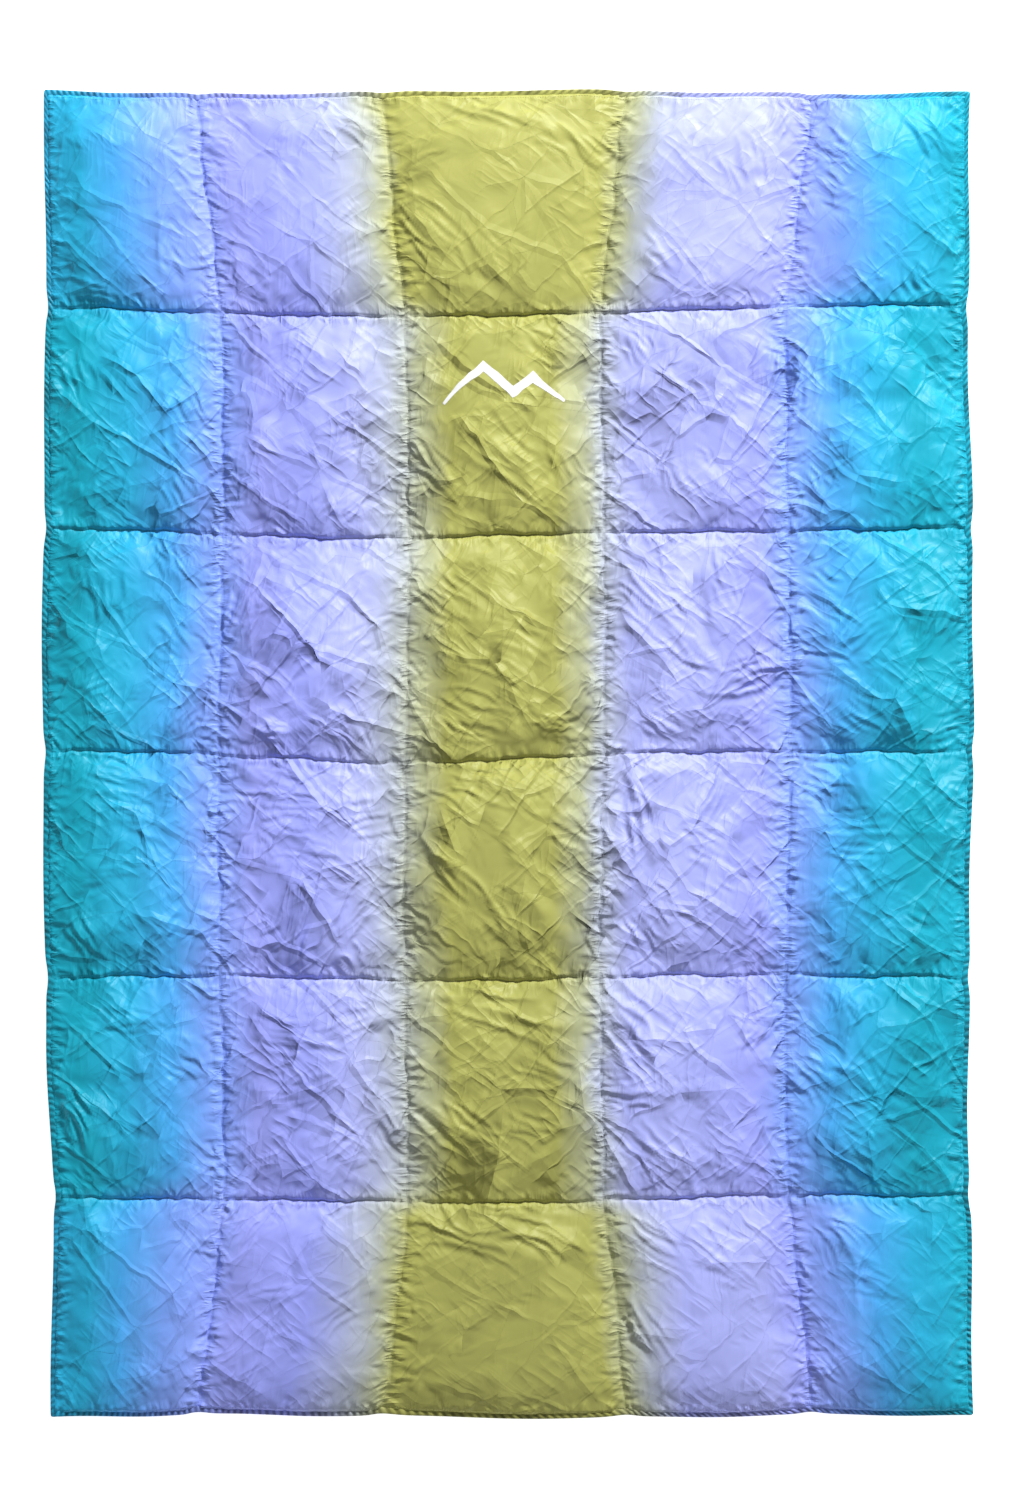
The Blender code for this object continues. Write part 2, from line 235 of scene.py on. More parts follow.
def chamber_at(across, along):
    """Column from the left and row from the foot, both from 0, of the chamber at each place."""
    column = np.clip(np.searchsorted(ACROSS_LINES, across, side="right") - 1, 0, COLUMNS - 1)
    row = np.clip(np.searchsorted(ALONG_LINES, along, side="right") - 1, 0, ROWS - 1)
    return column, row


def distance_to(lines, value):
    """Distance to the nearest of some lines."""
    return np.abs(np.asarray(value)[..., None] - np.asarray(lines)).min(axis=-1)


def stations(lines, step):
    """Places from the first line to the last, about step apart, one on each line, and the lines' indices."""
    places, marks = [lines[0]], [0]
    for start, stop in zip(lines, lines[1:]):
        count = 2 * round((stop - start) / step / 2)
        places += [start + (stop - start) * k / count for k in range(1, count + 1)]
        marks.append(len(places) - 1)
    return np.array(places), marks


def base_height(across, along):
    """Height of the seams and of the cloth's edge: low at the hem, higher at seams, a little uneven."""
    cloth = bpy.context.scene.blanket_cloth
    near_cross = np.exp(-((distance_to(CROSS_SEAMS, along) / 0.030) ** 2))
    seam = FOLD_HEIGHT + cloth.seam_rise * (1 - near_cross)
    inland = np.minimum(HALF_WIDTH - np.abs(across), HALF_LENGTH - np.abs(along))
    lift = cloth.edge_height + 0.0012 * (1 + value_noise(across, along, 0.16, 5))
    lift = lift + 0.0018 * near_cross
    return lift + (seam - lift) * smoothstep(0.004, 0.070, inland)


def laid(across, along):
    """From the flat cut to the floor: seams wander, the end rows flare, the edges wave and draw in."""
    third = abs(CROSS_SEAMS[0])
    beyond = np.clip((np.abs(along) - third) / (HALF_LENGTH - third), 0, 1)
    outer = LENGTHWISE_SEAMS[-1]
    spread = np.interp(np.abs(across), [0, LENGTHWISE_SEAMS[-2], outer, HALF_WIDTH], [0, 1, 1, 0])
    x = across + np.sign(across) * END_FLARE * spread * beyond
    x = x - 0.005 * spread
    x = x + spread * (0.0035 * np.sin(6.1 * along + 2.2 * across) + 0.0015 * np.sin(31 * along + 9 * across))
    x = x + 0.0022 * spread * value_noise(across, along, 0.016, 51)
    side = smoothstep(0.5, 1.0, np.abs(across) / HALF_WIDTH) * np.sign(across)
    low_left = 0.013 * smoothstep(0.42, 0.66, -along) * (across < 0)
    wave = 0.004 * np.sin(5.3 * along + 0.9) + 0.002 * np.sin(17 * along + 2 * across)
    drawn = 0.0035 * np.exp(-((distance_to(CROSS_SEAMS, along) / 0.022) ** 2))
    x = x + side * (wave * (1 - (across < 0) * 0.4) - low_left - drawn)
    droop = np.array([0.010, 0.006, 0.016, 0.013, 0.017])  # of each cross seam, from the foot
    shift = np.array([-0.005, -0.004, -0.002, 0.0, 0.001])
    inside = smoothstep(0, 0.06, HALF_LENGTH - np.abs(along))
    knots = [-HALF_LENGTH, *CROSS_SEAMS, HALF_LENGTH]
    sag = np.interp(along, knots, [0, *droop, 0]) * inside
    y = along - sag * (np.exp(-(((across + 0.14) / 0.34) ** 2)) - 0.45)
    y = y + np.interp(along, knots, [0, *shift, 0])
    y = y + inside * (0.002 * np.sin(9 * across + 4 * along) + 0.0012 * np.sin(37 * across + 7 * along))
    y = y + 0.0018 * inside * value_noise(across, along, 0.014, 52)
    end = smoothstep(0.8, 1.0, np.abs(along) / HALF_LENGTH) * np.sign(along)
    rim = 0.0025 * np.sin(7.3 * across + 1.1) + 0.0015 * np.sin(23 * across - along)
    gathered = 0.003 * np.exp(-((distance_to(LENGTHWISE_SEAMS, across) / 0.02) ** 2))
    return x, y + end * (rim - gathered)


# ---------------------------------------------------------------- the settled cloth
def settle_cloth(points, pins, push, slack, pressure, frames):
    """Cloth simulated on a grid: pinned where pins is 1, grown by slack, blown up by pressure * push."""
    columns, lines, _ = points.shape
    index = np.arange(columns * lines).reshape(columns, lines)
    mesh = bpy.data.meshes.new("cloth_in_work")
    mesh.from_pydata(points.reshape(-1, 3), [], grid_quads(index).tolist())
    sheet = bpy.data.objects.new("cloth_in_work", mesh)
    bpy.context.collection.objects.link(sheet)
    for name, weight in (("pins", pins), ("push", push)):
        group = sheet.vertex_groups.new(name=name)
        rounded = np.round(weight.reshape(-1), 2)
        for level in np.unique(rounded[rounded > 0]):
            group.add(np.nonzero(rounded == level)[0].tolist(), float(level), "REPLACE")
    cloth = sheet.modifiers.new("Cloth", "CLOTH")
    settings = cloth.settings
    settings.quality = 4
    settings.mass = 0.05
    settings.tension_stiffness = settings.compression_stiffness = 18
    settings.shear_stiffness = 9
    settings.bending_stiffness = 0.03
    settings.vertex_group_mass = "pins"
    settings.pin_stiffness = 50
    settings.use_pressure = True
    settings.uniform_pressure_force = pressure
    settings.vertex_group_pressure = "push"
    settings.shrink_min = -slack
    settings.effector_weights.gravity = 0
    cloth.collision_settings.use_collision = False
    cloth.point_cache.frame_start, cloth.point_cache.frame_end = 1, frames
    scene = bpy.context.scene
    for number in range(1, frames + 1):
        scene.frame_set(number)
    shaped = sheet.evaluated_get(bpy.context.evaluated_depsgraph_get()).to_mesh()
    settled = np.empty(columns * lines * 3)
    shaped.vertices.foreach_get("co", settled)
    bpy.data.objects.remove(sheet)
    bpy.data.meshes.remove(mesh)
    scene.frame_set(1)
    return settled.reshape(columns, lines, 3)


def doubled(values, axis):
    """Twice as fine along an axis: each new value is 9/16 of its two neighbours less 1/16 of the next two."""
    values = np.moveaxis(values, axis, 0)
    padded = np.concatenate([2 * values[:1] - values[1:2], values, 2 * values[-1:] - values[-2:-1]])
    between = (9 * (padded[1:-2] + padded[2:-1]) - padded[:-3] - padded[3:]) / 16
    fine = np.empty((2 * len(values) - 1, *values.shape[1:]))
    fine[0::2], fine[1::2] = values, between
    return np.moveaxis(fine, 0, axis)


# Groups of creases in each chamber, by row from the head and chamber from the left: the group's middle as
# shares of the chamber's width and length, its direction in degrees, how many creases, and their reach in mm.
CREASES = {
    (1, 1): ((0.68, 0.45, 88, 1, 170), (0.75, 0.25, -40, 4, 50), (0.3, 0.08, -10, 3, 90),
        (0.8, 0.7, -30, 3, 60)),
    (1, 2): ((0.8, 0.85, -25, 3, 110), (0.72, 0.35, 38, 7, 90), (0.3, 0.1, 45, 4, 60),
        (0.12, 0.75, -20, 4, 50)),
    (1, 3): ((0.15, 0.7, 25, 4, 100), (0.15, 0.4, -50, 6, 100), (0.4, 0.3, -58, 6, 110),
        (0.85, 0.75, -40, 5, 90), (0.5, 0.9, -25, 3, 120)),
    (1, 4): ((0.3, 0.65, 65, 3, 90), (0.7, 0.65, -68, 6, 100), (0.3, 0.25, -45, 5, 80),
        (0.85, 0.88, 75, 3, 60)),
    (1, 5): ((0.2, 0.75, -28, 5, 100), (0.2, 0.55, -30, 4, 80), (0.75, 0.8, -50, 4, 90),
        (0.9, 0.3, 70, 4, 80), (0.7, 0.15, -55, 4, 60)),
    (2, 1): ((0.68, 0.6, 89, 1, 160), (0.2, 0.7, -75, 5, 80), (0.8, 0.55, -55, 6, 70),
        (0.75, 0.2, -60, 5, 60), (0.25, 0.15, 80, 4, 60)),
    (2, 2): ((0.2, 0.8, 55, 4, 60), (0.75, 0.5, 25, 5, 90), (0.6, 0.15, 42, 7, 80)),
    (2, 3): ((0.25, 0.85, 45, 3, 80), (0.15, 0.3, -50, 7, 120), (0.5, 0.35, -42, 6, 130),
        (0.75, 0.85, -35, 6, 90), (0.8, 0.3, -55, 5, 90)),
    (2, 4): ((0.2, 0.85, -60, 5, 70), (0.4, 0.25, -65, 5, 70), (0.7, 0.6, -35, 4, 60),
        (0.92, 0.7, 70, 3, 90)),
    (2, 5): ((0.15, 0.65, 85, 4, 140), (0.15, 0.2, -65, 5, 60), (0.6, 0.25, 75, 5, 90),
        (0.9, 0.2, 65, 4, 90)),
    (3, 1): ((0.35, 0.7, -78, 7, 90), (0.75, 0.5, -45, 7, 60), (0.3, 0.25, 25, 6, 70),
        (0.8, 0.15, 60, 5, 60), (0.7, 0.88, -65, 5, 70)),
    (3, 2): ((0.12, 0.6, 62, 5, 130), (0.38, 0.5, 58, 6, 130), (0.6, 0.35, 50, 4, 80),
        (0.8, 0.55, 30, 6, 90), (0.75, 0.12, -55, 6, 70), (0.3, 0.12, -15, 4, 60)),
    (3, 3): ((0.2, 0.7, -35, 8, 110), (0.5, 0.5, -28, 9, 120), (0.35, 0.2, -25, 8, 120),
        (0.85, 0.8, 60, 4, 60), (0.8, 0.12, -8, 5, 110)),
    (3, 4): ((0.25, 0.7, -48, 7, 120), (0.45, 0.5, -42, 4, 150), (0.75, 0.35, 15, 6, 130),
        (0.65, 0.75, -75, 4, 90), (0.3, 0.15, -35, 5, 70)),
    (3, 5): ((0.2, 0.7, -35, 6, 80), (0.4, 0.55, 40, 6, 110), (0.2, 0.4, -18, 6, 90),
        (0.35, 0.18, -35, 7, 80), (0.85, 0.6, 60, 5, 90), (0.85, 0.1, 20, 5, 80)),
    (4, 1): ((0.4, 0.88, -8, 6, 120), (0.55, 0.7, -12, 5, 120), (0.3, 0.45, 8, 3, 80),
        (0.2, 0.2, -60, 4, 90), (0.7, 0.25, 50, 3, 70)),
    (4, 2): ((0.35, 0.85, -12, 7, 120), (0.5, 0.6, -18, 5, 120), (0.8, 0.75, 20, 5, 100),
        (0.4, 0.22, 68, 4, 130), (0.75, 0.35, 52, 5, 110), (0.7, 0.1, -50, 5, 50)),
    (4, 3): ((0.4, 0.88, -18, 8, 120), (0.25, 0.5, -48, 4, 180), (0.5, 0.25, -55, 4, 110),
        (0.8, 0.7, -35, 6, 100), (0.12, 0.22, -42, 5, 80)),
    (4, 4): ((0.2, 0.75, -75, 4, 150), (0.55, 0.75, 60, 5, 80), (0.6, 0.5, -30, 6, 80),
        (0.3, 0.2, -60, 5, 90), (0.85, 0.25, 45, 5, 80)),
    (4, 5): ((0.25, 0.88, -20, 6, 110), (0.4, 0.62, -5, 8, 120), (0.25, 0.35, 45, 5, 80),
        (0.7, 0.3, -35, 4, 70), (0.85, 0.8, 40, 5, 90)),
    (5, 1): ((0.5, 0.8, -10, 5, 120), (0.15, 0.35, -68, 5, 130), (0.6, 0.35, 65, 4, 90),
        (0.8, 0.6, -30, 4, 60)),
    (5, 2): ((0.4, 0.72, -8, 5, 120), (0.45, 0.5, 15, 4, 120), (0.75, 0.8, 25, 5, 100),
        (0.65, 0.2, 55, 4, 110), (0.9, 0.3, -60, 5, 70)),
    (5, 3): ((0.4, 0.87, -12, 4, 200), (0.7, 0.6, -22, 6, 120), (0.25, 0.35, -40, 6, 150),
        (0.6, 0.35, -15, 4, 110)),
    (5, 4): ((0.2, 0.75, -50, 6, 140), (0.15, 0.5, 0, 5, 90), (0.85, 0.75, 38, 4, 110),
        (0.3, 0.2, -48, 5, 80)),
    (5, 5): ((0.34, 0.72, 84, 2, 140), (0.35, 0.85, -70, 4, 90), (0.2, 0.55, -38, 7, 80),
        (0.5, 0.5, -35, 6, 120), (0.35, 0.2, -45, 6, 80), (0.88, 0.5, 70, 4, 70)),
    (6, 1): ((0.25, 0.8, -65, 3, 80), (0.8, 0.75, 60, 3, 70), (0.6, 0.2, -50, 4, 50)),
    (6, 2): ((0.15, 0.85, 52, 5, 90), (0.35, 0.55, 18, 3, 120), (0.7, 0.5, 42, 4, 110),
        (0.25, 0.2, 60, 4, 70)),
    (6, 3): ((0.25, 0.85, -20, 3, 220), (0.75, 0.8, -28, 4, 140), (0.6, 0.95, -12, 3, 120),
        (0.12, 0.2, 60, 3, 60)),
    (6, 4): ((0.3, 0.78, -38, 6, 120), (0.6, 0.7, -38, 5, 120), (0.12, 0.45, -62, 5, 130),
        (0.25, 0.15, 62, 3, 70)),
    (6, 5): ((0.34, 0.6, 88, 1, 150), (0.3, 0.78, -48, 7, 120), (0.5, 0.6, -22, 6, 120),
        (0.08, 0.2, -55, 6, 60), (0.85, 0.25, 60, 4, 60)),
}
SMALL_CREASES = (14, 18, 34, 34, 26, 14)  # in each chamber, by row from the head


class Quilt:
    """The settled cloth: stations on the flat cut, and the face's and back's places at each of them."""

    def __init__(self):
        cloth = bpy.context.scene.blanket_cloth
        coarse_across, marks_across = stations(ACROSS_LINES, cloth.step)
        coarse_along, marks_along = stations(ALONG_LINES, cloth.step)
        across, along = np.meshgrid(coarse_across, coarse_along, indexing="ij")
        seam = np.zeros(across.shape, bool)
        seam[marks_across, :] = True
        seam[:, marks_along] = True
        start = self.start_shape(across, along, seam)
        push = self.push(across, along)
        settled = settle_cloth(start, seam.astype(float), push, cloth.slack, cloth.pressure, cloth.frames)
        fine = doubled(doubled(settled, 0), 1)
        self.across = doubled(coarse_across, 0)
        self.along = doubled(coarse_along, 0)
        self.flat = np.stack(np.meshgrid(self.across, self.along, indexing="ij"), -1)
        self.rise = self.softened(self.quilted(fine[..., 2], cloth.loft), cloth.tallest)
        drift = fine[..., :2] - self.flat
        x, y = laid(self.flat[..., 0] + drift[..., 0], self.flat[..., 1] + drift[..., 1])
        gathers = np.exp(-((self.to_seam() / 0.010) ** 2)) * value_noise(*flat_sides(self.flat), 0.012, 41)
        seam_height = base_height(*flat_sides(self.flat)) + 0.0011 * gathers
        self.face = np.stack([x, y, seam_height + self.rise + 0.0003], -1)
        self.back = self.back_shape(settled, across, along)
        self.face_normals = normals_of(self.face)

    @staticmethod
    def start_shape(across, along, seam):
        """The cloth before it settles: a low half sine in each chamber, with wide and fine random bumps."""
        u = share_between(ACROSS_LINES, across)
        v = share_between(ALONG_LINES, along)
        dome = (np.sin(np.pi * u) * np.sin(np.pi * v)) ** 0.7
        height = dome * (0.012 + 0.005 * value_noise(across, along, 0.11, 1))
        height += 0.0004 * value_noise(across, along, 0.009, 2)
        height[seam] = 0.0013 * value_noise(across, along, 0.013, 3)[seam]
        return np.stack([across, along, height], -1)

    @staticmethod
    def push(across, along):
        """How hard the down pushes: full in the head rows and the foot row, slacker between."""
        by_row = np.array([0.85, 0.45, 0.40, 0.45, 0.85, 1.0])  # from the foot
        column, row = chamber_at(across, along)
        uneven = np.random.default_rng(8).uniform(0.82, 1.18, (COLUMNS, ROWS))
        return np.clip(by_row[row] * uneven[column, row], 0.05, 1)

    def quilted(self, settled, loft):
        """The face over its seams: a stuffed crown, the settled cloth broad and fine, and pressed creases.

        The crown is loft * row share * (4u(1 - u))^0.55 * (4v(1 - v))^e, with e 0.30 towards the foot, where
        the down sinks against the seam, and 0.42 towards the head.
        """
        across, along = self.flat[..., 0], self.flat[..., 1]
        u, v = share_between(ACROSS_LINES, across), share_between(ALONG_LINES, along)
        steepness = np.where(v < 0.5, 0.30, 0.42)
        crown = (4 * u * (1 - u)).clip(0) ** 0.55 * (4 * v * (1 - v)).clip(0) ** steepness
        row_share = np.array([1.0, 0.84, 0.74, 0.74, 0.92, 1.0])  # from the foot
        column, row = chamber_at(across, along)
        uneven = np.random.default_rng(9).uniform(0.9, 1.08, (COLUMNS, ROWS))
        full = loft * (row_share[row] * uneven[column, row] + 0.10 * value_noise(across, along, 0.09, 31))
        broad = evened(np.maximum(settled, 0), 26)
        fine = evened(settled, 3) - evened(settled, 26)
        inside = smoothstep(-0.001, 0.0035, self.to_seam())
        shape = crown * (full + 0.35 * broad) + 0.35 * fine * crown**0.6
        return shape + inside * self.pressed(u, v)

    def to_seam(self):
        """Distance to the nearest seam or edge of the cloth, on the flat cut."""
        across = distance_to(ACROSS_LINES, self.across)[:, None]
        return np.minimum(across, distance_to(ALONG_LINES, self.along)[None])

    def pressed(self, u, v):
        """All the creases: each chamber's folded groups, small ones between, and puckers at the seams."""
        draw = np.random.default_rng(17)
        relief = np.zeros(u.shape)
        for (row, chamber), groups in CREASES.items():
            left, right = ACROSS_LINES[chamber - 1], ACROSS_LINES[chamber]
            near, far = ALONG_LINES[ROWS - row], ALONG_LINES[ROWS - row + 1]
            window = self.window(left, right, near, far)
            corner, size = np.array([left, near]), np.array([right - left, far - near])
            for place_u, place_v, angle, count, reach in groups:
                middle = corner + size * (place_u, place_v)
                strong = 1.0 + (reach >= 130) * 0.7
                self.group(relief, window, draw, middle, angle, count, reach / 1000, strong)
                broad = draw.uniform(0.0020, 0.0036) * strong
                turned = angle + draw.normal(0, 6)
                bow = draw.normal(0, 0.012)
                self.crease(relief, window, middle, turned, reach * 0.0014, 0.0095, broad, bow)
            for _ in range(SMALL_CREASES[row - 1]):
                middle = corner + size * draw.uniform(0.05, 0.95, 2)
                away = [np.linalg.norm(corner + size * group[:2] - middle) for group in groups]
                angle = groups[int(np.argmin(away))][2] + draw.normal(0, 22)
                self.group(relief, window, draw, middle, angle, 2, 0.034, 0.42)
            self.puckers(relief, window, draw, (left, right, near, far))
        return relief

    def puckers(self, relief, window, draw, edges):
        """Short creases that start at each side of a chamber and run inwards."""
        left, right, near, far = edges
        for side in range(4):
            upright = side < 2
            start, stop = (near, far) if upright else (left, right)
            for place in np.arange(start + 0.005, stop - 0.005, 0.0098 if upright else 0.0120):
                if draw.random() < 0.2:
                    continue
                reach = draw.uniform(0.022, 0.058) if upright else draw.uniform(0.014, 0.034)
                inward = (1 if side in (0, 2) else -1) * reach * 0.26
                edge = edges[side] + inward
                shift = draw.uniform(-0.004, 0.004)
                middle = (edge, place + shift) if upright else (place + shift, edge)
                angle = (0 if upright else 90) + draw.normal(0, 24)
                height = draw.uniform(0.0012, 0.0034)
                self.crease(relief, window, middle, angle, reach, 0.0027, height, 0.0)

    def window(self, left, right, near, far):
        """Index ranges of a chamber on the grid."""
        i = np.searchsorted(self.across, (left - 1e-6, right + 1e-6))
        j = np.searchsorted(self.along, (near - 1e-6, far + 1e-6))
        return slice(i[0], i[1]), slice(j[0], j[1])

    def group(self, relief, window, draw, middle, angle, count, reach, strong):
        """Creases side by side in a slightly opening fan."""
        turn = math.radians(angle)
        sideways = np.array([-math.sin(turn), math.cos(turn)])
        forward = np.array([math.cos(turn), math.sin(turn)])
        pitch = draw.uniform(0.0085, 0.0125) * (0.7 + 0.3 * strong)
        opening = draw.normal(0, 5)
        for k in range(count):
            step = k - (count - 1) / 2
            place = middle + sideways * (step * pitch + draw.normal(0, 0.0016))
            place = place + forward * draw.normal(0, reach * 0.16)
            own = angle + step * opening * 0.6 + draw.normal(0, 5)
            length = reach * draw.uniform(0.55, 1.15)
            width = draw.uniform(0.0025, 0.0040) * (0.6 + 0.4 * strong)
            height = draw.uniform(0.0018, 0.0040) * strong
            self.crease(relief, window, place, own, length, width, height, draw.normal(0, 0.10) * length)

    def crease(self, relief, window, middle, angle, length, width, height, bow):
        """One crease: height * (exp(-|t|/width) - a shallow trough beside it) * (1 - s^2)^1.5.

        s runs from -1 to 1 along it, t is the distance from its line, which bows sideways by bow at its ends.
        """
        part = relief[window]
        across = self.across[window[0]][:, None] - middle[0]
        along = self.along[window[1]][None] - middle[1]
        turn = math.radians(angle)
        s = (across * math.cos(turn) + along * math.sin(turn)) / (length / 2)
        t = along * math.cos(turn) - across * math.sin(turn) - bow * s**2
        narrow = width * (0.55 + 0.45 * (1 - np.clip(s**2, 0, 1)))
        ridge = np.exp(-np.abs(t) / narrow) - 0.42 * np.exp(-(((t + 2.1 * width) / (1.5 * width)) ** 2))
        part += height * ridge * np.clip(1 - s**2, 0, 1) ** 1.5

    @staticmethod
    def softened(height, tallest):
        """Heights eased towards a limit: tallest * tanh(height / tallest), so that wrinkles stay."""
        return np.where(height > 0, tallest * np.tanh(height / tallest), height)

    def back_shape(self, settled, across, along):
        """The back sheet: the same cloth mirrored and hanging down, flattened where it meets the floor."""
        drift = settled[::-1, :, :2] - np.stack([across[::-1], along], -1)
        x, y = laid(across - drift[..., 0] * 0.5, along + drift[..., 1] * 0.5)
        height = base_height(across, along) - 0.0028 - 0.62 * np.maximum(settled[::-1, :, 2], 0)
        soft = 0.0012
        height = 0.0004 + soft * np.log1p(np.exp(np.clip((height - 0.0004) / soft, -40, 40)))
        return np.stack([x, y, height], -1)

    def on_face(self, across, along):
        """Place and normal on the face at places of the flat cut, read between the grid's points."""
        i = np.interp(across, self.across, np.arange(len(self.across)))
        j = np.interp(along, self.along, np.arange(len(self.along)))
        i0 = np.clip(i.astype(int), 0, len(self.across) - 2)
        j0 = np.clip(j.astype(int), 0, len(self.along) - 2)
        fi, fj = (i - i0)[..., None], (j - j0)[..., None]
        both = []
        for grid in (self.face, self.face_normals):
            low = grid[i0, j0] * (1 - fi) + grid[i0 + 1, j0] * fi
            high = grid[i0, j0 + 1] * (1 - fi) + grid[i0 + 1, j0 + 1] * fi
            both.append(low * (1 - fj) + high * fj)
        return both


def flat_sides(flat):
    """A grid of flat places as its two sides."""
    return flat[..., 0], flat[..., 1]


def share_between(lines, value):
    """How far a value lies from one line to the next, from 0 to 1."""
    lines = np.asarray(lines)
    k = np.clip(np.searchsorted(lines, value, side="right") - 1, 0, len(lines) - 2)
    return np.clip((value - lines[k]) / (lines[k + 1] - lines[k]), 0, 1)


def normals_of(grid):
    """Unit normals of a grid of points, from the cross product of its two directions."""
    normal = np.cross(np.gradient(grid, axis=0), np.gradient(grid, axis=1))
    return normal / np.linalg.norm(normal, axis=-1, keepdims=True)


_made = {}


def quilt():
    """The settled cloth, worked out once."""
    if "quilt" not in _made:
        _made["quilt"] = Quilt()
    return _made["quilt"]


# ---------------------------------------------------------------- meshes
def piece(name, points, faces, material, flat=None, normals=None, plan=None):
    """A mesh piece at the origin. flat goes to the attribute cloth_place, plan to the map OFBake."""
    mesh = bpy.data.meshes.new(name)
    mesh.from_pydata(np.ascontiguousarray(points).reshape(-1, 3), [], faces)
    made = bpy.data.objects.new(name, mesh)
    bpy.context.collection.objects.link(made)
    mesh.materials.append(material)
    mesh.shade_smooth()
    if flat is not None:
        attribute = mesh.attributes.new("cloth_place", "FLOAT_VECTOR", "POINT")
        attribute.data.foreach_set("vector", np.ascontiguousarray(flat, np.float32).reshape(-1))
    if plan is not None:
        layer = mesh.uv_layers.new(name="OFBake")
        layer.data.foreach_set("uv", np.ascontiguousarray(plan, np.float32).reshape(-1))
    if normals is not None:
        mesh.normals_split_custom_set_from_vertices(normals.tolist())
    return made


def grid_quads(index):
    """Quads of a grid of vertex numbers, facing the way that its first times its second direction points."""
    corners = (index[:-1, :-1], index[1:, :-1], index[1:, 1:], index[:-1, 1:])
    return np.stack(corners, -1).reshape(-1, 4)


def rim_of(index):
    """The vertex numbers round a grid's edge, once round, against the clock seen from above."""
    return np.concatenate([index[:-1, 0], index[-1, :-1], index[:0:-1, -1], index[0, :0:-1]])


def lowest_near(height, reach):
    """The lowest height within reach grid steps each way."""
    padded = np.pad(height, reach, mode="edge")
    windows = np.lib.stride_tricks.sliding_window_view(padded, (2 * reach + 1, 2 * reach + 1))
    return windows.min(axis=(2, 3))


def evened(values, times):
    """Values averaged with their neighbours, 1 2 1 over 4 each way, a number of times."""
    for _ in range(times):
        for axis in (0, 1):
            values = np.moveaxis(values, axis, 0)
            ends = np.concatenate([values[:1], values, values[-1:]])
            values = np.moveaxis((ends[:-2] + 2 * values + ends[2:]) / 4, 0, axis)
    return values


def closed_sheet(name, outer, flat, normals, thickness, facing, material, coarser=2):
    """A thin closed cloth: the outer grid, and an inner grid coarser times as coarse, thickness inside it.

    facing is 1 for a face sheet, whose outer side is up, and -1 for a back sheet. Fans join the rims.
    """
    columns, lines, _ = outer.shape
    inner = outer[::coarser, ::coarser].copy()
    kept = lowest_near(outer[..., 2] * facing, coarser)[::coarser, ::coarser]
    inner[..., 2] = facing * (kept - thickness)
    index = np.arange(columns * lines).reshape(columns, lines)
    inside = index.size + np.arange(inner[..., 0].size).reshape(inner.shape[:2])
    upper, lower = grid_quads(index), grid_quads(inside)[:, ::-1]
    rim, inner_rim = rim_of(index), rim_of(inside)
    near = inner_rim[np.arange(len(rim)) // coarser % len(inner_rim)]
    fans = np.stack([near, np.roll(rim, -1), rim], -1)
    last = rim[(np.arange(len(inner_rim)) + 1) * coarser % len(rim)]
    steps = np.stack([inner_rim, np.roll(inner_rim, -1), last], -1)
    walls = np.concatenate([fans, steps])
    if facing < 0:
        upper, lower, walls = upper[:, ::-1], lower[:, ::-1], walls[:, ::-1]
    faces = upper.tolist() + lower.tolist() + walls.tolist()
    points = np.concatenate([outer.reshape(-1, 3), inner.reshape(-1, 3)])
    places = np.concatenate([flat.reshape(-1, 2), flat[::coarser, ::coarser].reshape(-1, 2)])
    places = np.column_stack([places, np.zeros(len(places))])
    directions = np.concatenate(
        [normals.reshape(-1, 3) * facing, -normals[::coarser, ::coarser].reshape(-1, 3) * facing]
    )
    plan = bake_plan(points, upper, lower, walls)
    return piece(name, points, faces, material, places, directions, plan)


def bake_plan(points, upper, lower, walls):
    """A map from above, for each face's corners: the outer side and the rim below, the inner side on top."""
    corner = np.concatenate([upper.reshape(-1), lower.reshape(-1), walls.reshape(-1)])
    inner_side = np.zeros(len(corner), bool)
    inner_side[upper.size : upper.size + lower.size] = True
    low, high = points[:, :2].min(0), points[:, :2].max(0)
    across, along = ((points[corner, :2] - low) / (high - low)).T
    rise = np.where(inner_side, 0.905 + along * 0.085, 0.01 + along * 0.88)
    return np.column_stack([0.01 + across * 0.98, rise])


def over_fold(made):
    """Bake a piece's placement into its mesh, so that the object sits at the origin."""
    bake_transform(made)


def cuts(along):
    """Index ranges of the pieces along the cloth, head first: each runs from mid row to mid row."""
    inner = [int(np.abs(along - middle).argmin()) for middle in MID_ROWS[1:-1]]
    inner = [k - k % 2 for k in inner]
    ends = [0, *inner, len(along) - 1]
    return list(zip(ends, ends[1:]))[::-1]


def tube_faces(rings, sides):
    """Quads round a run of rings, with a face over each end. Rings turn with the clock seen along the run."""
    index = np.arange(rings * sides).reshape(rings, sides)
    around = np.concatenate([index, index[:, :1]], 1)
    quads = grid_quads(around)
    return quads.tolist() + [index[0, ::-1].tolist(), index[-1].tolist()]


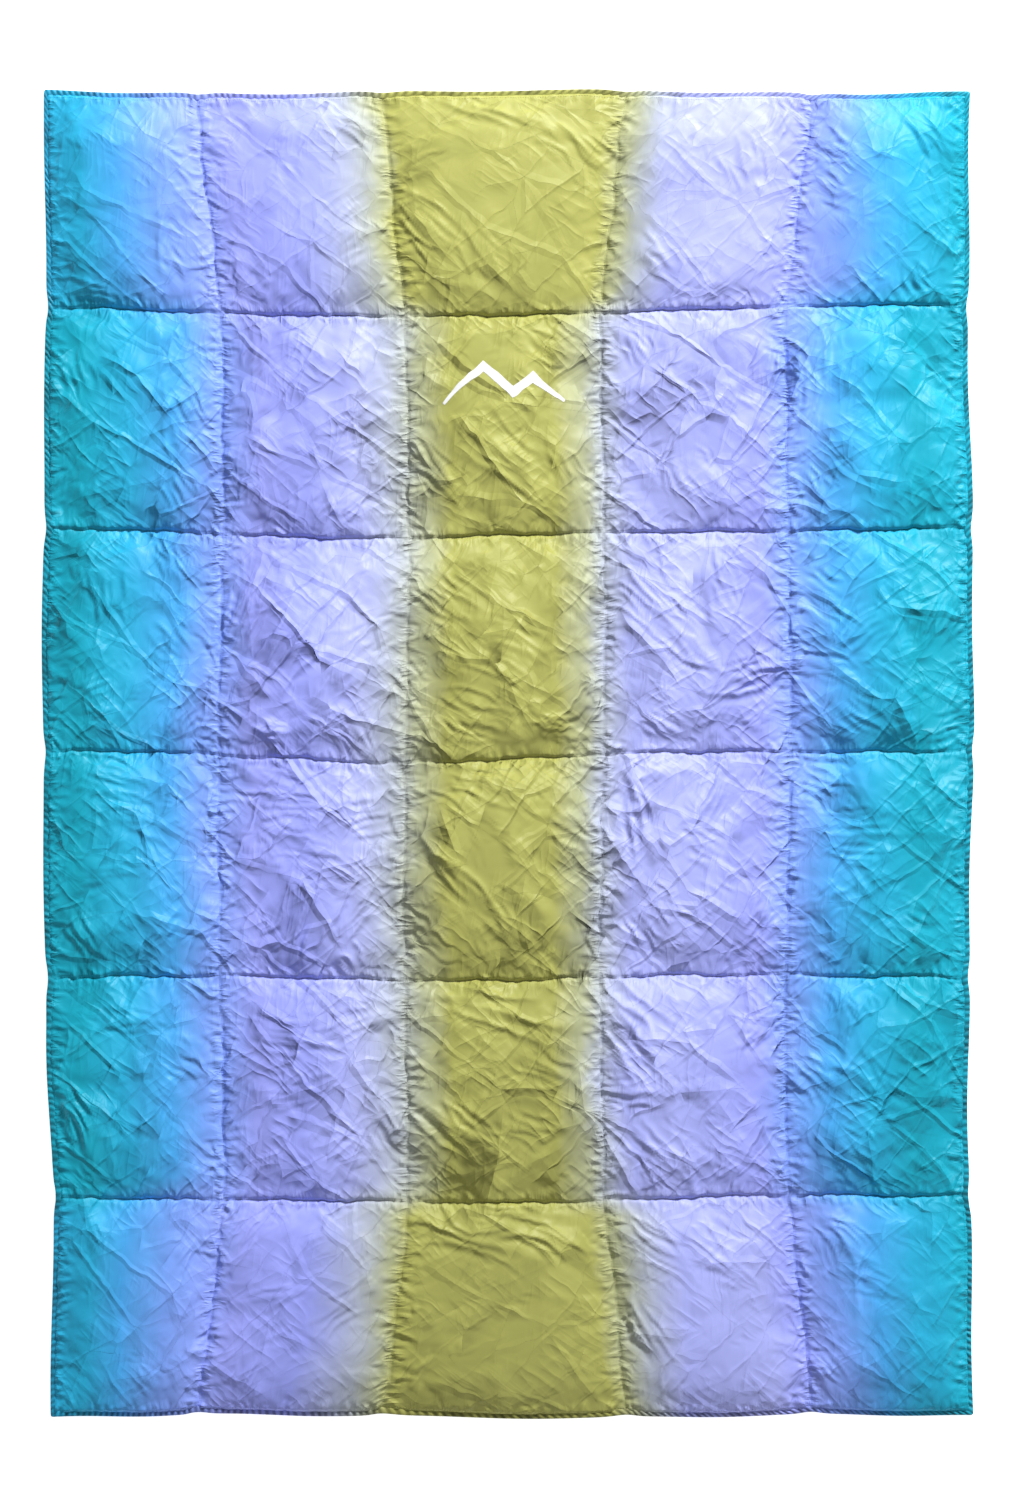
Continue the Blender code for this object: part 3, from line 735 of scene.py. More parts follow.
# ---------------------------------------------------------------- materials
class Paint:
    """Shorthand for the nodes of one material."""

    def __init__(self, name):
        self.material = bpy.data.materials.new(name)
        self.material.use_nodes = True
        self.nodes = self.material.node_tree.nodes
        self.links = self.material.node_tree.links
        self.shader = self.nodes["Principled BSDF"]

    def add(self, kind, inputs=(), **settings):
        """A node with its settings and inputs, each a number, a colour or another node's output."""
        made = self.nodes.new(kind)
        for key, value in settings.items():
            setattr(made, key, value)
        for key, value in dict(inputs).items():
            self.join(made.inputs[key], value)
        return made

    def join(self, socket, value):
        if isinstance(value, bpy.types.NodeSocket):
            self.links.new(value, socket)
        else:
            socket.default_value = value

    def maths(self, operation, first, second=0.0, third=0.0):
        """One sum on numbers."""
        values = {0: first, 1: second, 2: third}
        return self.add("ShaderNodeMath", values, operation=operation).outputs[0]

    def times(self, *values):
        """The product of some numbers."""
        made = values[0]
        for value in values[1:]:
            made = self.maths("MULTIPLY", made, value)
        return made

    def vector(self, operation, first, second):
        """One sum on vectors: a number from a dot product, and otherwise a vector."""
        made = self.add("ShaderNodeVectorMath", {0: first, 1: second}, operation=operation)
        return made.outputs["Value" if operation == "DOT_PRODUCT" else "Vector"]

    def tinted(self, colour, value):
        """A colour made brighter or darker by value, as the shader's colour."""
        made = self.add("ShaderNodeHueSaturation", {"Color": (*colour, 1), "Value": value})
        self.join(self.shader.inputs["Base Color"], made.outputs["Color"])

    def ease(self, value, low, high, bottom=0.0, top=1.0):
        """An even S from bottom at low to top at high."""
        inputs = {"Value": value, "From Min": low, "From Max": high, "To Min": bottom, "To Max": top}
        made = self.add("ShaderNodeMapRange", inputs, interpolation_type="SMOOTHSTEP")
        return made.outputs["Result"]

    def noise(self, place, scale, detail=2.0, kind="FBM", rough=0.5, twist=0.0):
        """Noise of a given scale in bumps per metre."""
        inputs = {"Vector": place, "Scale": scale, "Detail": detail, "Roughness": rough}
        inputs["Distortion"] = twist
        if kind == "RIDGED_MULTIFRACTAL":
            inputs["Offset"] = 1.0
        return self.add("ShaderNodeTexNoise", inputs, noise_type=kind).outputs["Fac"]

    def turned(self, place, angle, stretch):
        """A place turned in the flat and stretched one way, so that noise on it runs in streaks."""
        inputs = {"Vector": place, "Rotation": (0, 0, math.radians(angle)), "Scale": (stretch, 1, 1)}
        return self.add("ShaderNodeMapping", inputs, vector_type="TEXTURE").outputs["Vector"]

    def ramp(self, value, stops):
        """A colour ramp with stops of (place from 0 to 1, colour)."""
        made = self.add("ShaderNodeValToRGB", {"Fac": value})
        elements = made.color_ramp.elements
        for k, (place, colour) in enumerate(stops):
            stop = elements[k] if k < 2 else elements.new(place)
            stop.position = place
            stop.color = (*colour, 1)
        return made.outputs["Color"]

    def bump(self, height, distance, strength=1.0, below=None):
        """A bump of a height from 0 to 1 over the given distance, on top of another bump."""
        inputs = {"Height": height, "Distance": distance, "Strength": strength}
        if below is not None:
            inputs["Normal"] = below
        return self.add("ShaderNodeBump", inputs).outputs["Normal"]


def cloth_place(paint):
    """The place on the flat cut, as a vector and its two sides."""
    place = paint.add("ShaderNodeAttribute", attribute_name="cloth_place").outputs["Vector"]
    sides = paint.add("ShaderNodeSeparateXYZ", {0: place}).outputs
    return place, sides["X"], sides["Y"]


# Where along the width each dye is at its purest, in metres from the middle: rows 2 to 5, then the end rows.
DYE_INNER = (
    (-0.690, "teal"), (-0.640, "teal"), (-0.570, "aqua"), (-0.500, "sky"), (-0.450, "cornflower"),
    (-0.375, "lavender"), (-0.300, "lavender"), (-0.235, "pale"), (-0.180, "mist"), (-0.130, "sage"),
    (-0.085, "olive"), (0.070, "olive"), (0.117, "sage"), (0.153, "mist"), (0.195, "pale"), (0.260, "pale"),
    (0.385, "lavender"), (0.445, "cornflower"), (0.500, "sky"), (0.555, "aqua"), (0.615, "teal"),
    (0.690, "teal"),
)
DYE_ENDS = (
    (-0.690, "aqua"), (-0.640, "aqua"), (-0.580, "sky"), (-0.500, "cornflower"), (-0.390, "lavender"),
    (-0.290, "lavender"), (-0.215, "mist"), (-0.167, "sage"), (-0.140, "olive"), (0.125, "olive"),
    (0.165, "sage"), (0.205, "mist"), (0.250, "pale"), (0.370, "pale"), (0.410, "lavender"),
    (0.490, "cornflower"), (0.550, "sky"), (0.605, "aqua"), (0.690, "teal"),
)


def dye(paint, place, across, along, depth=1.0):
    """The dyed stripes: two ramps over the width, one for the end rows, with blurred, wandering borders."""
    colours = bpy.context.scene.blanket_colours
    drift = paint.maths("MULTIPLY_ADD", paint.noise(place, 5.0, 1.0), 0.045, -0.0225)
    ragged = paint.maths("MULTIPLY_ADD", paint.noise(place, 38.0, 3.0), 0.020, -0.010)
    moved = paint.maths("ADD", across, paint.maths("ADD", drift, ragged))
    share = paint.maths("MULTIPLY_ADD", moved, 1 / (2 * HALF_WIDTH), 0.5)
    ramps = []
    for stops in (DYE_INNER, DYE_ENDS):
        places = [(0.5 + x / (2 * HALF_WIDTH), getattr(colours, name)) for x, name in stops]
        ramps.append(paint.ramp(share, places))
    edge = paint.maths("ADD", paint.maths("ABSOLUTE", along), paint.times(drift, 1.5))
    outer = paint.ease(edge, CROSS_SEAMS[-1] - 0.03, CROSS_SEAMS[-1] + 0.03)
    both = paint.add("ShaderNodeMix", data_type="RGBA")
    paint.join(both.inputs[0], outer)
    paint.join(both.inputs[6], ramps[0])
    paint.join(both.inputs[7], ramps[1])
    blotch = paint.noise(place, 14.0, 4.0, rough=0.6)
    # depth darkens the dye; on the hem it also carries painted shade in the puckers and patches.
    value = paint.times(paint.ease(blotch, 0.2, 0.8, 0.955, 1.045), depth)
    inputs = {"Color": both.outputs[2], "Value": value, "Saturation": colours.dye_strength}
    return paint.add("ShaderNodeHueSaturation", inputs).outputs["Color"]


FACET_STRETCH = 2.8  # how much longer than wide the facets between pressed creases are


def nearest(paint, value, lines):
    """Distance to the nearest of some lines."""
    reach = [paint.maths("ABSOLUTE", paint.maths("SUBTRACT", value, line)) for line in lines]
    while len(reach) > 1:
        reach = [paint.maths("MINIMUM", reach[0], reach[1]), *reach[2:]]
    return reach[0]


def facets(paint, place, angle, scale, tilt, mask, below):
    """Flat facets with sharp borders: each cell of a pattern tilted its own way, as far as mask allows."""
    seen = paint.turned(place, angle, FACET_STRETCH)
    cells = paint.add("ShaderNodeTexVoronoi", {"Vector": seen, "Scale": scale}, feature="F1")
    away = paint.vector("SUBTRACT", seen, cells.outputs["Position"])
    lean = paint.vector("SUBTRACT", cells.outputs["Color"], (0.5, 0.5, 0.5))
    return paint.bump(paint.times(paint.vector("DOT_PRODUCT", away, lean), mask), tilt, 1.0, below)


def creases(paint, place, across, along):
    """Pressed-in creases: streaks, flat facets and sharp lines, strongest in the middle rows, and gathers."""
    normal = None
    calm = paint.ease(paint.maths("ABSOLUTE", along), 0.55, 0.80, 1.0, 0.55)
    for angle, scale, depth in ((34, 46.0, 0.0013), (-40, 52.0, 0.0015), (78, 80.0, 0.0007)):
        streaks = paint.turned(place, angle, 4.2)
        folds = paint.noise(streaks, scale, 1.5, kind="RIDGED_MULTIFRACTAL", rough=0.4, twist=0.25)
        patchy = paint.ease(paint.noise(place, 9.0 + scale * 0.1, 1.0), 0.42, 0.62)
        normal = paint.bump(paint.times(folds, calm, patchy), depth, 1.0, normal)
    wander = paint.add("ShaderNodeTexNoise", {"Vector": place, "Scale": 16.0, "Detail": 2.0}).outputs["Color"]
    moved = paint.vector("ADD", place, paint.vector("MULTIPLY", wander, (0.015, 0.015, 0.0)))
    for angle, scale, depth in ((-40, 14.0, 0.0020), (50, 24.0, 0.0013)):
        patchy = paint.times(calm, paint.ease(paint.noise(place, 7.0 + scale * 0.1, 1.0), 0.38, 0.56))
        inputs = {"Vector": paint.turned(moved, angle, FACET_STRETCH), "Scale": scale}
        cells = paint.add("ShaderNodeTexVoronoi", inputs, feature="DISTANCE_TO_EDGE").outputs["Distance"]
        line = paint.maths("MAXIMUM", paint.maths("SUBTRACT", 1.0, paint.times(cells, 13.0)), 0.0)
        normal = paint.bump(paint.times(line, patchy), depth, 1.0, normal)
        normal = facets(paint, moved, angle, scale, 0.40, patchy, normal)
    uneven = paint.ease(paint.noise(place, 26.0, 1.0), 0.36, 0.62, 0.15, 1.0)
    for value, lines, angle, depth in ((across, ACROSS_LINES, 0, 0.0015), (along, ALONG_LINES, 90, 0.0008)):
        close = paint.ease(nearest(paint, value, lines), 0.002, 0.024, 1.0, 0.0)
        streaks = paint.turned(moved, angle, 3.6)
        gathers = paint.noise(streaks, 100.0, 2.0, kind="RIDGED_MULTIFRACTAL", rough=0.5)
        normal = paint.bump(paint.times(gathers, uneven, close), depth, 1.0, normal)
    return normal


THREAD_PITCH, THREAD_RISE = 0.0009, 0.00005  # of the cloth's own weave


def weave(paint, place, below):
    """A plain weave: waves both ways of the cloth."""
    threads = []
    for direction in ("X", "Y"):
        scale = 0.5 / THREAD_PITCH / math.pi
        inputs = {"Vector": place, "Scale": scale, "Distortion": 0.4, "Detail": 1.0}
        made = paint.add("ShaderNodeTexWave", inputs, wave_type="BANDS", bands_direction=direction)
        threads.append(made.outputs["Fac"])
    return paint.bump(paint.times(*threads), THREAD_RISE, 0.5, below)


def taffeta(name, depth=1.0, folds=True, gathered=False):
    """Dyed, tightly woven nylon with a low sheen. Gathered, it has painted shade in its pucker valleys and in
    patches.
    """
    paint = Paint(name)
    place, across, along = cloth_place(paint)
    if gathered:
        # Painted shade: the dye is made darker in the hem's pucker valleys and in random patches.
        valley = paint.add("ShaderNodeAttribute", attribute_name="valley").outputs["Fac"]
        shade_patches = paint.ease(paint.noise(place, 20.0, 2.0), 0.44, 0.62, 1.06, 0.66)
        depth = paint.times(shade_patches, depth, paint.ease(valley, 0.1, 1.0, 1.1, 0.55))
    paint.join(paint.shader.inputs["Base Color"], dye(paint, place, across, along, depth))
    normal = creases(paint, place, across, along) if folds else None
    paint.join(paint.shader.inputs["Normal"], weave(paint, place, normal))
    rough = paint.ease(paint.noise(place, 22.0, 3.0), 0.3, 0.7, 0.44, 0.56)
    paint.join(paint.shader.inputs["Roughness"], rough)
    paint.shader.inputs["Specular IOR Level"].default_value = 0.24
    return paint.material


def plain_cloth(name, colour, rough, scale, folds=False):
    """One-colour cloth or print with its mottling and weave."""
    paint = Paint(name)
    place, across, along = cloth_place(paint)
    blotch = paint.ease(paint.noise(place, scale, 3.0), 0.25, 0.75, 0.92, 1.06)
    paint.tinted(colour, blotch)
    normal = creases(paint, place, across, along) if folds else None
    paint.join(paint.shader.inputs["Normal"], weave(paint, place, normal))
    paint.join(paint.shader.inputs["Roughness"], paint.ease(blotch, 0.9, 1.1, rough - 0.06, rough + 0.06))
    return paint.material


def fluffy(name, colour):
    """Down clusters: a soft, deep bump in small round heaps, with painted shade between the heaps."""
    paint = Paint(name)
    place, _, _ = cloth_place(paint)
    clusters = paint.add("ShaderNodeTexVoronoi", {"Vector": place, "Scale": 70.0}).outputs["Distance"]
    hairs = paint.noise(place, 420.0, 4.0, rough=0.7)
    # Painted shade: the down is darker between its heaps and a little lighter on their middles.
    paint.tinted(colour, paint.ease(clusters, 0.0, 0.8, 1.03, 0.88))
    heaps = paint.maths("MULTIPLY_ADD", hairs, 0.35, paint.maths("SUBTRACT", 1.0, clusters))
    paint.join(paint.shader.inputs["Normal"], paint.bump(heaps, 0.004, 0.7))
    paint.shader.inputs["Roughness"].default_value = 0.95
    paint.shader.inputs["Sheen Weight"].default_value = 0.3
    return paint.material


# ---------------------------------------------------------------- operators
class MakeFaceCloth(bpy.types.Operator):
    """Lay the dyed face cloth in five pieces, each spanning one cross seam"""

    bl_idname = "blanket.face_cloth"
    bl_label = "Face cloth"

    def execute(self, context):
        cloth = context.scene.blanket_cloth
        made = quilt()
        material = taffeta("dyed_taffeta")
        for section, (low, high) in enumerate(cuts(made.along), start=1):
            part = slice(low, high + 1)
            grids = made.face[:, part], made.flat[:, part], made.face_normals[:, part]
            sheet = closed_sheet(f"face_sheet_{section}", *grids, cloth.thickness, 1, material)
            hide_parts(*rows_of("face_fabric", section))
            over_fold(sheet)
        return {"FINISHED"}


def rows_of(kind, section):
    """The parts that a section of the cloth stands for: its row's, and for the last section row 6's too."""
    return [f"{kind}_row_{row}" for row in ((section, ROWS) if section == ROWS - 1 else (section,))]


class MakeBackCloth(bpy.types.Operator):
    """Lay the back cloth in five pieces under the face cloth"""

    bl_idname = "blanket.back_cloth"
    bl_label = "Back cloth"

    def execute(self, context):
        cloth = context.scene.blanket_cloth
        made = quilt()
        material = plain_cloth("back_taffeta", context.scene.blanket_colours.back, 0.5, 16.0, folds=True)
        across, along = made.across[::2], made.along[::2]
        flat = made.flat[::2, ::2]
        normals = normals_of(made.back)
        for section, (low, high) in enumerate(cuts(along), start=1):
            part = slice(low, high + 1)
            grids = made.back[:, part], flat[:, part], normals[:, part]
            sheet = closed_sheet(f"back_sheet_{section}", *grids, cloth.thickness, -1, material)
            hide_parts(*rows_of("back_fabric", section))
            over_fold(sheet)
        return {"FINISHED"}


WAD_MARGIN = 0.016  # between the down and a lengthwise seam
WAD_ROOM_ABOVE, WAD_ROOM_BELOW = 0.0016, 0.0014  # between the down and each sheet


class MakeDown(bpy.types.Operator):
    """Fill each chamber with its wad of down"""

    bl_idname = "blanket.down"
    bl_label = "Down"

    def execute(self, context):
        made = quilt()
        material = fluffy("down", context.scene.blanket_colours.down)
        ceiling = lowest_near(made.face[..., 2], 4)[::2, ::2]
        floor = -lowest_near(-made.back[..., 2], 2)
        for row in range(1, ROWS + 1):
            for chamber in range(1, COLUMNS + 1):
                node = f"down_fill_row_{row}_chamber_{chamber}"
                wad = self.wad(made, row, chamber, ceiling, floor, material)
                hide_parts(node)
                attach(wad, f"row_{row}")
        return {"FINISHED"}

    @staticmethod
    def wad(made, row, chamber, ceiling, floor, material):
        """A lens between the sheets: middle plus and minus half the gap, times (sin pi u * sin pi v)^0.35."""
        line = ROWS - row
        u, v = np.meshgrid(np.linspace(0, 1, 27), np.linspace(0, 1, 29), indexing="ij")
        left, right = ACROSS_LINES[chamber - 1] + WAD_MARGIN, ACROSS_LINES[chamber] - WAD_MARGIN
        near, far = ALONG_LINES[line] + FOLD_REACH, ALONG_LINES[line + 1] - FOLD_REACH
        across, along = left + (right - left) * u, near + (far - near) * v
        i = np.abs(made.across[::2, None] - across.reshape(1, -1)).argmin(0).reshape(u.shape)
        j = np.abs(made.along[::2, None] - along.reshape(1, -1)).argmin(0).reshape(u.shape)
        top, low = ceiling[i, j] - WAD_ROOM_ABOVE, floor[i, j] + WAD_ROOM_BELOW
        round_off = (np.sin(np.pi * u) * np.sin(np.pi * v)).clip(0) ** 0.35
        half = np.maximum((top - low) / 2, 0.0004) * round_off
        middle = (top + low) / 2
        x, y = laid(across, along)
        upper, under = np.stack([x, y, middle + half], -1), np.stack([x, y, middle - half], -1)
        index = np.arange(u.size).reshape(u.shape)
        below = index.copy()
        inner = below[1:-1, 1:-1]
        inner[:] = u.size + np.arange(inner.size).reshape(inner.shape)
        points = np.concatenate([upper.reshape(-1, 3), under[1:-1, 1:-1].reshape(-1, 3)])
        faces = grid_quads(index).tolist() + grid_quads(below)[:, ::-1].tolist()
        return piece(f"down_wad_row_{row}_chamber_{chamber}", points, faces, material, points)


class MakeHem(bpy.types.Operator):
    """Run the folded hem round the edge, in eight pieces that meet at mid row"""

    bl_idname = "blanket.hem"
    bl_label = "Hem"

    def execute(self, context):
        # gathered=True paints shade into the hem's pucker valleys and into patches.
        material = taffeta("hem_taffeta", depth=0.84, folds=False, gathered=True)
        cut_places = MID_ROWS[1:-1]  # of rows 5 to 2
        runs = {"hem_head": (1, cut_places[3], "head"), "hem_foot": (5, cut_places[0], "foot")}
        for section in (2, 3, 4):
            for side in ("left", "right"):
                span = (cut_places[4 - section], cut_places[5 - section])
                runs[f"hem_{side}_{section}"] = (section, span, side)
        for name, (section, span, side) in runs.items():
            made = self.strip(name, self.edge_line(span, side), material)
            if side in ("left", "right"):
                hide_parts(f"hem_{side}_row_{section}")
            elif side == "head":
                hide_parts("hem_head")
            else:
                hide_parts("hem_foot", "hem_left_row_5", "hem_right_row_5")
            over_fold(made)
        return {"FINISHED"}

    @staticmethod
    def edge_line(span, side):
        """The outer edge on the flat cut: a straight side, or an end with its two corners and half-rows."""
        if side == "left":
            corners = [(-HALF_WIDTH, span[0]), (-HALF_WIDTH, span[1])]
        elif side == "right":
            corners = [(HALF_WIDTH, span[1]), (HALF_WIDTH, span[0])]
        elif side == "head":
            corners = [(-HALF_WIDTH, span), (-HALF_WIDTH, HALF_LENGTH), (HALF_WIDTH, HALF_LENGTH)]
            corners.append((HALF_WIDTH, span))
        else:
            corners = [(HALF_WIDTH, span), (HALF_WIDTH, -HALF_LENGTH), (-HALF_WIDTH, -HALF_LENGTH)]
            corners.append((-HALF_WIDTH, span))
        corners = np.array(corners)
        lengths = np.linalg.norm(np.diff(corners, axis=0), axis=1)
        travelled = np.concatenate([[0], np.cumsum(lengths)])
        wanted = np.linspace(0, travelled[-1], 1 + round(travelled[-1] / 0.0022))
        line = np.stack([np.interp(wanted, travelled, corners[:, k]) for k in (0, 1)], -1)
        for _ in range(3):
            line[1:-1] = (line[:-2] + 2 * line[1:-1] + line[2:]) / 4
        return line

    @staticmethod
    def strip(name, line, material):
        """The hem: a flattened ring |a|^2.6 + |b|^2.6 = 1 carried along the edge, with slanting puckers.

        a runs across the hem and b over its thickness. The inner rings shrink towards the blanket's middle in
        proportion, which mitres the corners.
        """
        trim = bpy.context.scene.blanket_trim
        turn = np.linspace(0, 2 * np.pi, 14, endpoint=False)
        a = np.sign(np.cos(turn)) * np.abs(np.cos(turn)) ** (2 / 2.6)
        b = np.sign(np.sin(turn)) * np.abs(np.sin(turn)) ** (2 / 2.6)
        inward = (1 - a) / 2 * HEM_WIDTH
        edge_p, edge_q = line[:, 0, None], line[:, 1, None]
        across = edge_p * (HALF_WIDTH - inward) / HALF_WIDTH
        along = edge_q * (HALF_LENGTH - inward) / HALF_LENGTH
        x, y = laid(across, along)
        round_edge = np.where(np.abs(edge_p) > np.abs(edge_q) * HALF_WIDTH / HALF_LENGTH, edge_q, edge_p)
        warp = 1.8 * value_noise(edge_p, edge_q, 0.05, 21)
        phase = 2 * np.pi * (round_edge + 0.7 * inward) / trim.pucker_pitch + warp
        depth = trim.pucker_depth * (0.65 + 0.5 * value_noise(edge_p, edge_q, 0.022, 22))
        thick = trim.hem_thickness / 2 + depth * np.sin(phase) * (1 - np.abs(a) ** 4)
        middle = base_height(edge_p, edge_q)
        height = np.maximum(middle + b * thick, 0.0003)
        rings = np.stack([x, y, height], -1)
        faces = tube_faces(*rings.shape[:2])
        flat = np.stack([across, along, np.broadcast_to(b * 0.002, across.shape)], -1)
        made = piece(name, rings, faces, material, flat)
        # How deep each point lies in a pucker's valley: the hem material paints shade there.
        valley = made.data.attributes.new("valley", "FLOAT", "POINT")
        valley.data.foreach_set("value", (0.5 - 0.5 * np.sin(phase)).astype(np.float32).reshape(-1))
        return made


class MakeStitching(bpy.types.Operator):
    """Sew the quilting lines and the hem's topstitch, stitch by stitch"""

    bl_idname = "blanket.stitching"
    bl_label = "Stitching"

    def execute(self, context):
        trim = context.scene.blanket_trim
        made = quilt()
        material = taffeta("quilting_thread", depth=0.82, folds=False)
        for section, (low, high) in enumerate(cuts(made.along), start=1):
            starts, stops = self.places(section, made.along[low], made.along[high], trim.stitch)
            sewn = self.stitches(f"stitches_{section}", made, starts, stops, trim.thread, material)
            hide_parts(*rows_of("quilting_thread", section))
            over_fold(sewn)
        return {"FINISHED"}

    @staticmethod
    def places(section, low, high, stitch):
        """Both ends of each stitch on the flat cut: lengthwise seams, the cross seam and the hem's line."""
        inset = HEM_WIDTH + 0.0015
        side, end = HALF_WIDTH - inset, HALF_LENGTH - inset
        seam = CROSS_SEAMS[5 - section]
        runs = [((x, max(low, -end)), (x, min(high, end))) for x in LENGTHWISE_SEAMS]
        runs += [((x, max(low, -end)), (x, min(high, end))) for x in (-side, side)]
        runs.append(((-side, seam), (side, seam)))
        if section == 1:
            runs.append(((-side, end), (side, end)))
        if section == 5:
            runs.append(((-side, -end), (side, -end)))
        starts, stops = [], []
        for start, stop in runs:
            start, stop = np.array(start), np.array(stop)
            length = np.linalg.norm(stop - start)
            share = np.arange(0.5, length / stitch - 0.5) * stitch / length
            middle = start + share[:, None] * (stop - start)
            reach = (stop - start) / length * stitch * 0.36
            starts.append(middle - reach)
            stops.append(middle + reach)
        return np.concatenate(starts), np.concatenate(stops)

    @staticmethod
    def stitches(name, made, starts, stops, radius, material):
        """Sixteen-face stitches: two square rings and two points, which dip into the cloth."""
        share = np.array([0, 0.25, 0.75, 1])
        sink = np.array([-0.9, 0.5, 0.5, -0.9]) * radius
        flat = starts[:, None] + share[:, None] * (stops - starts)[:, None]
        centre, up = made.on_face(flat[..., 0], flat[..., 1])
        centre = centre + up * sink[:, None]
        along = centre[:, 3] - centre[:, 0]
        along /= np.linalg.norm(along, axis=1, keepdims=True)
        side = np.cross(up[:, 1], along)
        side /= np.linalg.norm(side, axis=1, keepdims=True)
        lift = np.cross(along, side)
        corners = [side + lift, lift - side, -side - lift, side - lift]
        ring = np.stack(corners, 1) * radius * 0.75
        points = np.concatenate(
            [centre[:, :1], centre[:, 1, None] + ring, centre[:, 2, None] + ring, centre[:, 3:]], 1
        )
        tips = [(0, 1 + (k + 1) % 4, 1 + k) for k in range(4)]
        tips += [(9, 5 + k, 5 + (k + 1) % 4) for k in range(4)]
        sides = [(1 + k, 1 + (k + 1) % 4, 5 + (k + 1) % 4, 5 + k) for k in range(4)]
        offsets = np.arange(len(points))[:, None, None] * 10
        faces = (np.array(tips) + offsets).reshape(-1, 3).tolist()
        faces += (np.array(sides) + offsets).reshape(-1, 4).tolist()
        middle = np.repeat((starts + stops)[:, None] / 2, 10, 1)
        flat_place = np.concatenate([middle, np.zeros((*middle.shape[:2], 1))], -1)
        return piece(name, points, faces, material, flat_place)


# The line that draws the peaks: places as shares of the print's size, and the line's width there in metres.
PEAKS = (
    (-0.48, -0.42, 0.004),
    (-0.17, 0.40, 0.012),
    (0.05, -0.16, 0.015),
    (0.21, 0.16, 0.012),
    (0.47, -0.42, 0.004),
)


class MakePrint(bpy.types.Operator):
    """Print two plain peaks on the middle chamber of the second row"""

    bl_idname = "blanket.print"
    bl_label = "Print"

    def execute(self, context):
        trim = context.scene.blanket_trim
        made = quilt()
        low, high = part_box("printed_mark")
        middle = np.array([(low.x + high.x) / 2, (low.y + high.y) / 2])
        size = np.array([trim.print_width, trim.print_height])
        material = plain_cloth("white_print", context.scene.blanket_colours.white_print, 0.5, 60.0)
        steps, wide = 44, 9
        knots, widths = np.array(PEAKS)[:, :2], np.array(PEAKS)[:, 2]
        reach = mitres(knots * size) * widths[:, None] / 2
        count = np.arange(len(knots))
        share = np.linspace(0, len(knots) - 1, steps * (len(knots) - 1) + 1)
        path = np.stack([np.interp(share, count, (knots * size)[:, k]) for k in (0, 1)], -1)
        out = np.stack([np.interp(share, count, reach[:, k]) for k in (0, 1)], -1)
        side = np.linspace(-1, 1, wide)
        flat = middle + path[:, None] + out[:, None] * side[:, None]
        points, normals = made.on_face(flat[..., 0], flat[..., 1])
        points = points + normals * 0.00035
        mark = closed_sheet("printed_mark_peaks", points, flat, normals, 0.0005, 1, material, coarser=1)
        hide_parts("printed_mark")
        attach(mark, "row_2")
        return {"FINISHED"}


def mitres(knots):
    """For each knot of a line, the sideways reach that keeps the line's width through the corner."""
    ways = np.diff(knots, axis=0)
    ways /= np.linalg.norm(ways, axis=1, keepdims=True)
    sides = np.column_stack([-ways[:, 1], ways[:, 0]])
    before, after = np.vstack([sides[:1], sides]), np.vstack([sides, sides[-1:]])
    both = before + after
    both /= np.linalg.norm(both, axis=1, keepdims=True)
    return both / (both * before).sum(1, keepdims=True)


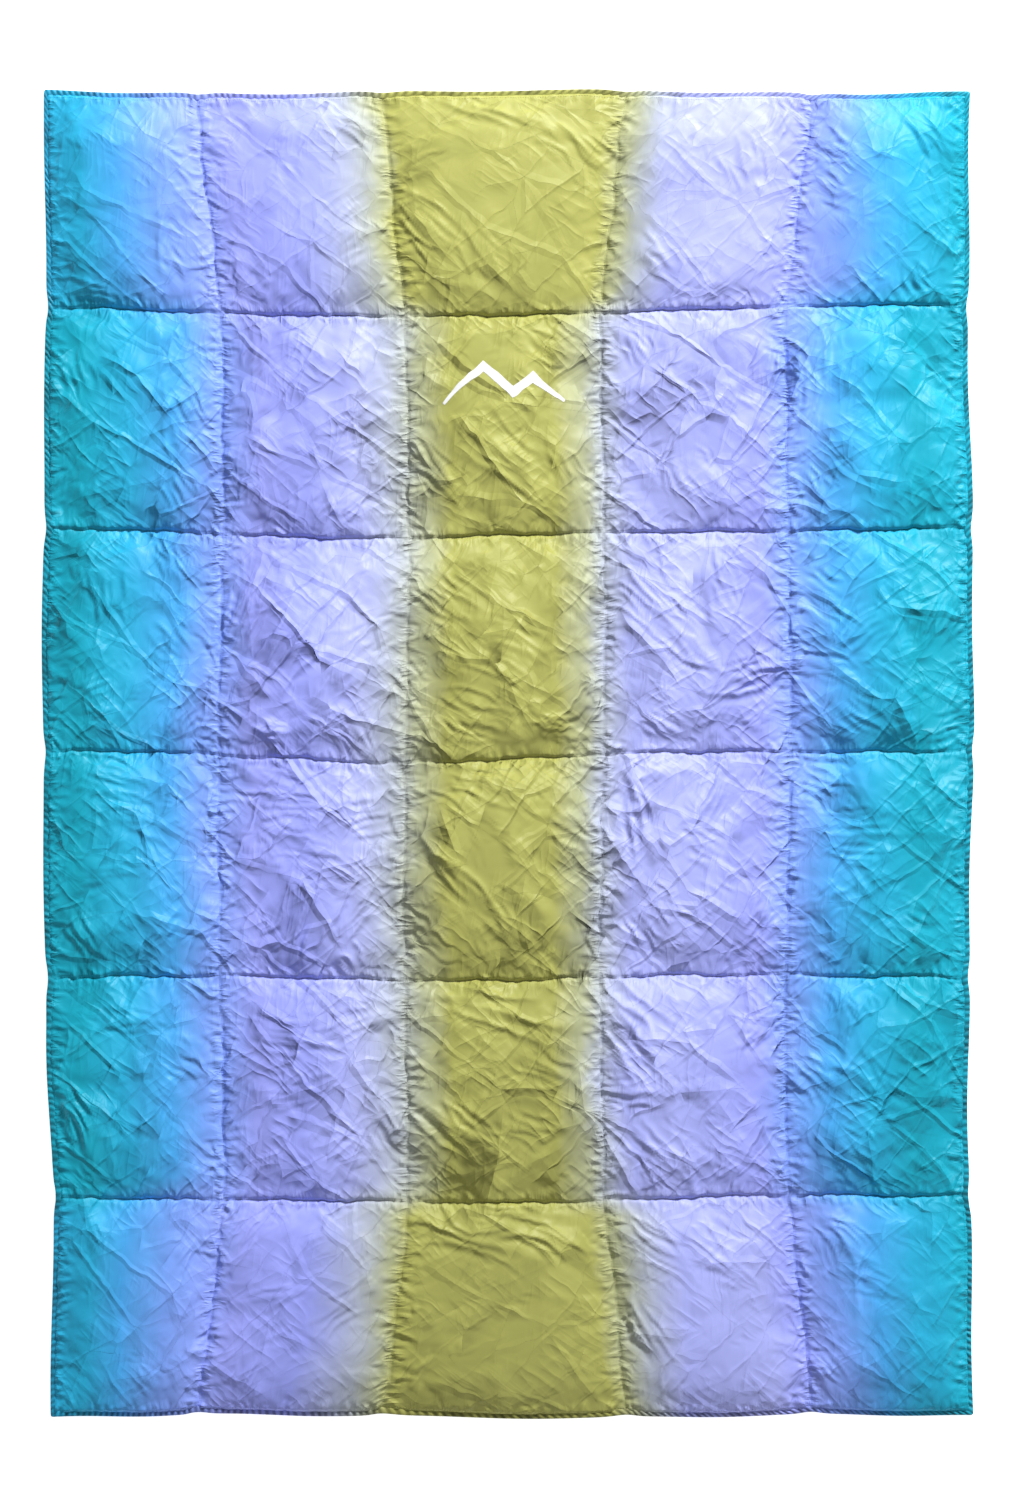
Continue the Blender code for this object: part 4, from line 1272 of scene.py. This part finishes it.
class MakeStage(bpy.types.Operator):
    """Set the pale floor, the studio light and the camera"""

    bl_idname = "blanket.stage"
    bl_label = "Stage"

    def execute(self, context):
        scene = context.scene
        stage = scene.blanket_stage
        scene.view_settings.view_transform = "Standard"
        paint = Paint("pale_floor")
        place = paint.add("ShaderNodeTexCoord").outputs["Object"]
        tone = paint.ease(paint.noise(place, 3.0, 2.0), 0.3, 0.7, 0.90, 0.92)
        grey = paint.add("ShaderNodeCombineColor", {0: tone, 1: tone, 2: tone}).outputs[0]
        paint.join(paint.shader.inputs["Base Color"], grey)
        paint.shader.inputs["Roughness"].default_value = 0.9
        paint.shader.inputs["Emission Color"].default_value = (1, 1, 1, 1)
        paint.shader.inputs["Emission Strength"].default_value = 0.8
        paint.shader.inputs["Specular IOR Level"].default_value = 0.1
        mesh = bpy.data.meshes.new("floor")
        reach = 30.0
        corners = [(x * reach, y * reach, -0.0004) for x, y in ((-1, -1), (1, -1), (1, 1), (-1, 1))]
        mesh.from_pydata(corners, [], [(0, 1, 2, 3)])
        mesh.materials.append(paint.material)
        floor = bpy.data.objects.new("floor", mesh)
        scene.collection.objects.link(floor)
        self.light("key_light", (2.5, 5.6, 3.9), 1.5, stage.key)
        self.light("fill_light", (0.8, -4.2, 4.6), 4.0, stage.fill)
        world = bpy.data.worlds.new("room")
        world.use_nodes = True
        world.node_tree.nodes["Background"].inputs["Color"].default_value = (1, 1, 1, 1)
        world.node_tree.nodes["Background"].inputs["Strength"].default_value = stage.sky
        scene.world = world
        camera = bpy.data.cameras.new("camera")
        camera.lens = camera.sensor_width * stage.camera_height / stage.view_length
        camera.clip_end = 60
        holder = bpy.data.objects.new("camera", camera)
        holder.location = (0.009, 0.006, stage.camera_height)
        scene.collection.objects.link(holder)
        scene.camera = holder
        return {"FINISHED"}

    @staticmethod
    def light(name, place, size, power):
        """A square soft light that faces the blanket's middle."""
        lamp = bpy.data.lights.new(name, "AREA")
        lamp.shape = "SQUARE"
        lamp.size = size
        lamp.energy = power
        holder = bpy.data.objects.new(name, lamp)
        holder.location = place
        holder.rotation_euler = (-holder.location).to_track_quat("-Z", "Y").to_euler()
        bpy.context.scene.collection.objects.link(holder)


class BlanketPanel(bpy.types.Panel):
    """Lists the blanket's sizes and makers"""

    bl_idname = "VIEW3D_PT_blanket"
    bl_label = "Down Camp Blanket"
    bl_space_type = "VIEW_3D"
    bl_region_type = "UI"
    bl_category = "Blanket"

    def draw(self, context):
        for name in GROUPS:
            settings = getattr(context.scene, name)
            box = self.layout.box()
            for key in settings.bl_rna.properties.keys():
                if key not in ("rna_type", "name"):
                    box.prop(settings, key)
        for maker in OPERATORS:
            self.layout.operator(maker.bl_idname)


GROUPS = {
    "blanket_cloth": BlanketCloth,
    "blanket_trim": BlanketTrim,
    "blanket_colours": BlanketColours,
    "blanket_stage": BlanketStage,
}
OPERATORS = (MakeStage, MakeFaceCloth, MakeBackCloth, MakeDown, MakeHem, MakeStitching, MakePrint)


def register():
    for made in (*GROUPS.values(), *OPERATORS, BlanketPanel):
        bpy.utils.register_class(made)
    for name, group in GROUPS.items():
        setattr(bpy.types.Scene, name, PointerProperty(type=group))


def unregister():
    for name in GROUPS:
        delattr(bpy.types.Scene, name)
    for made in reversed((*GROUPS.values(), *OPERATORS, BlanketPanel)):
        bpy.utils.unregister_class(made)


def main():
    register()
    for maker in OPERATORS:
        group, name = maker.bl_idname.split(".")
        getattr(getattr(bpy.ops, group), name)()


if __name__ == "__main__":
    main()
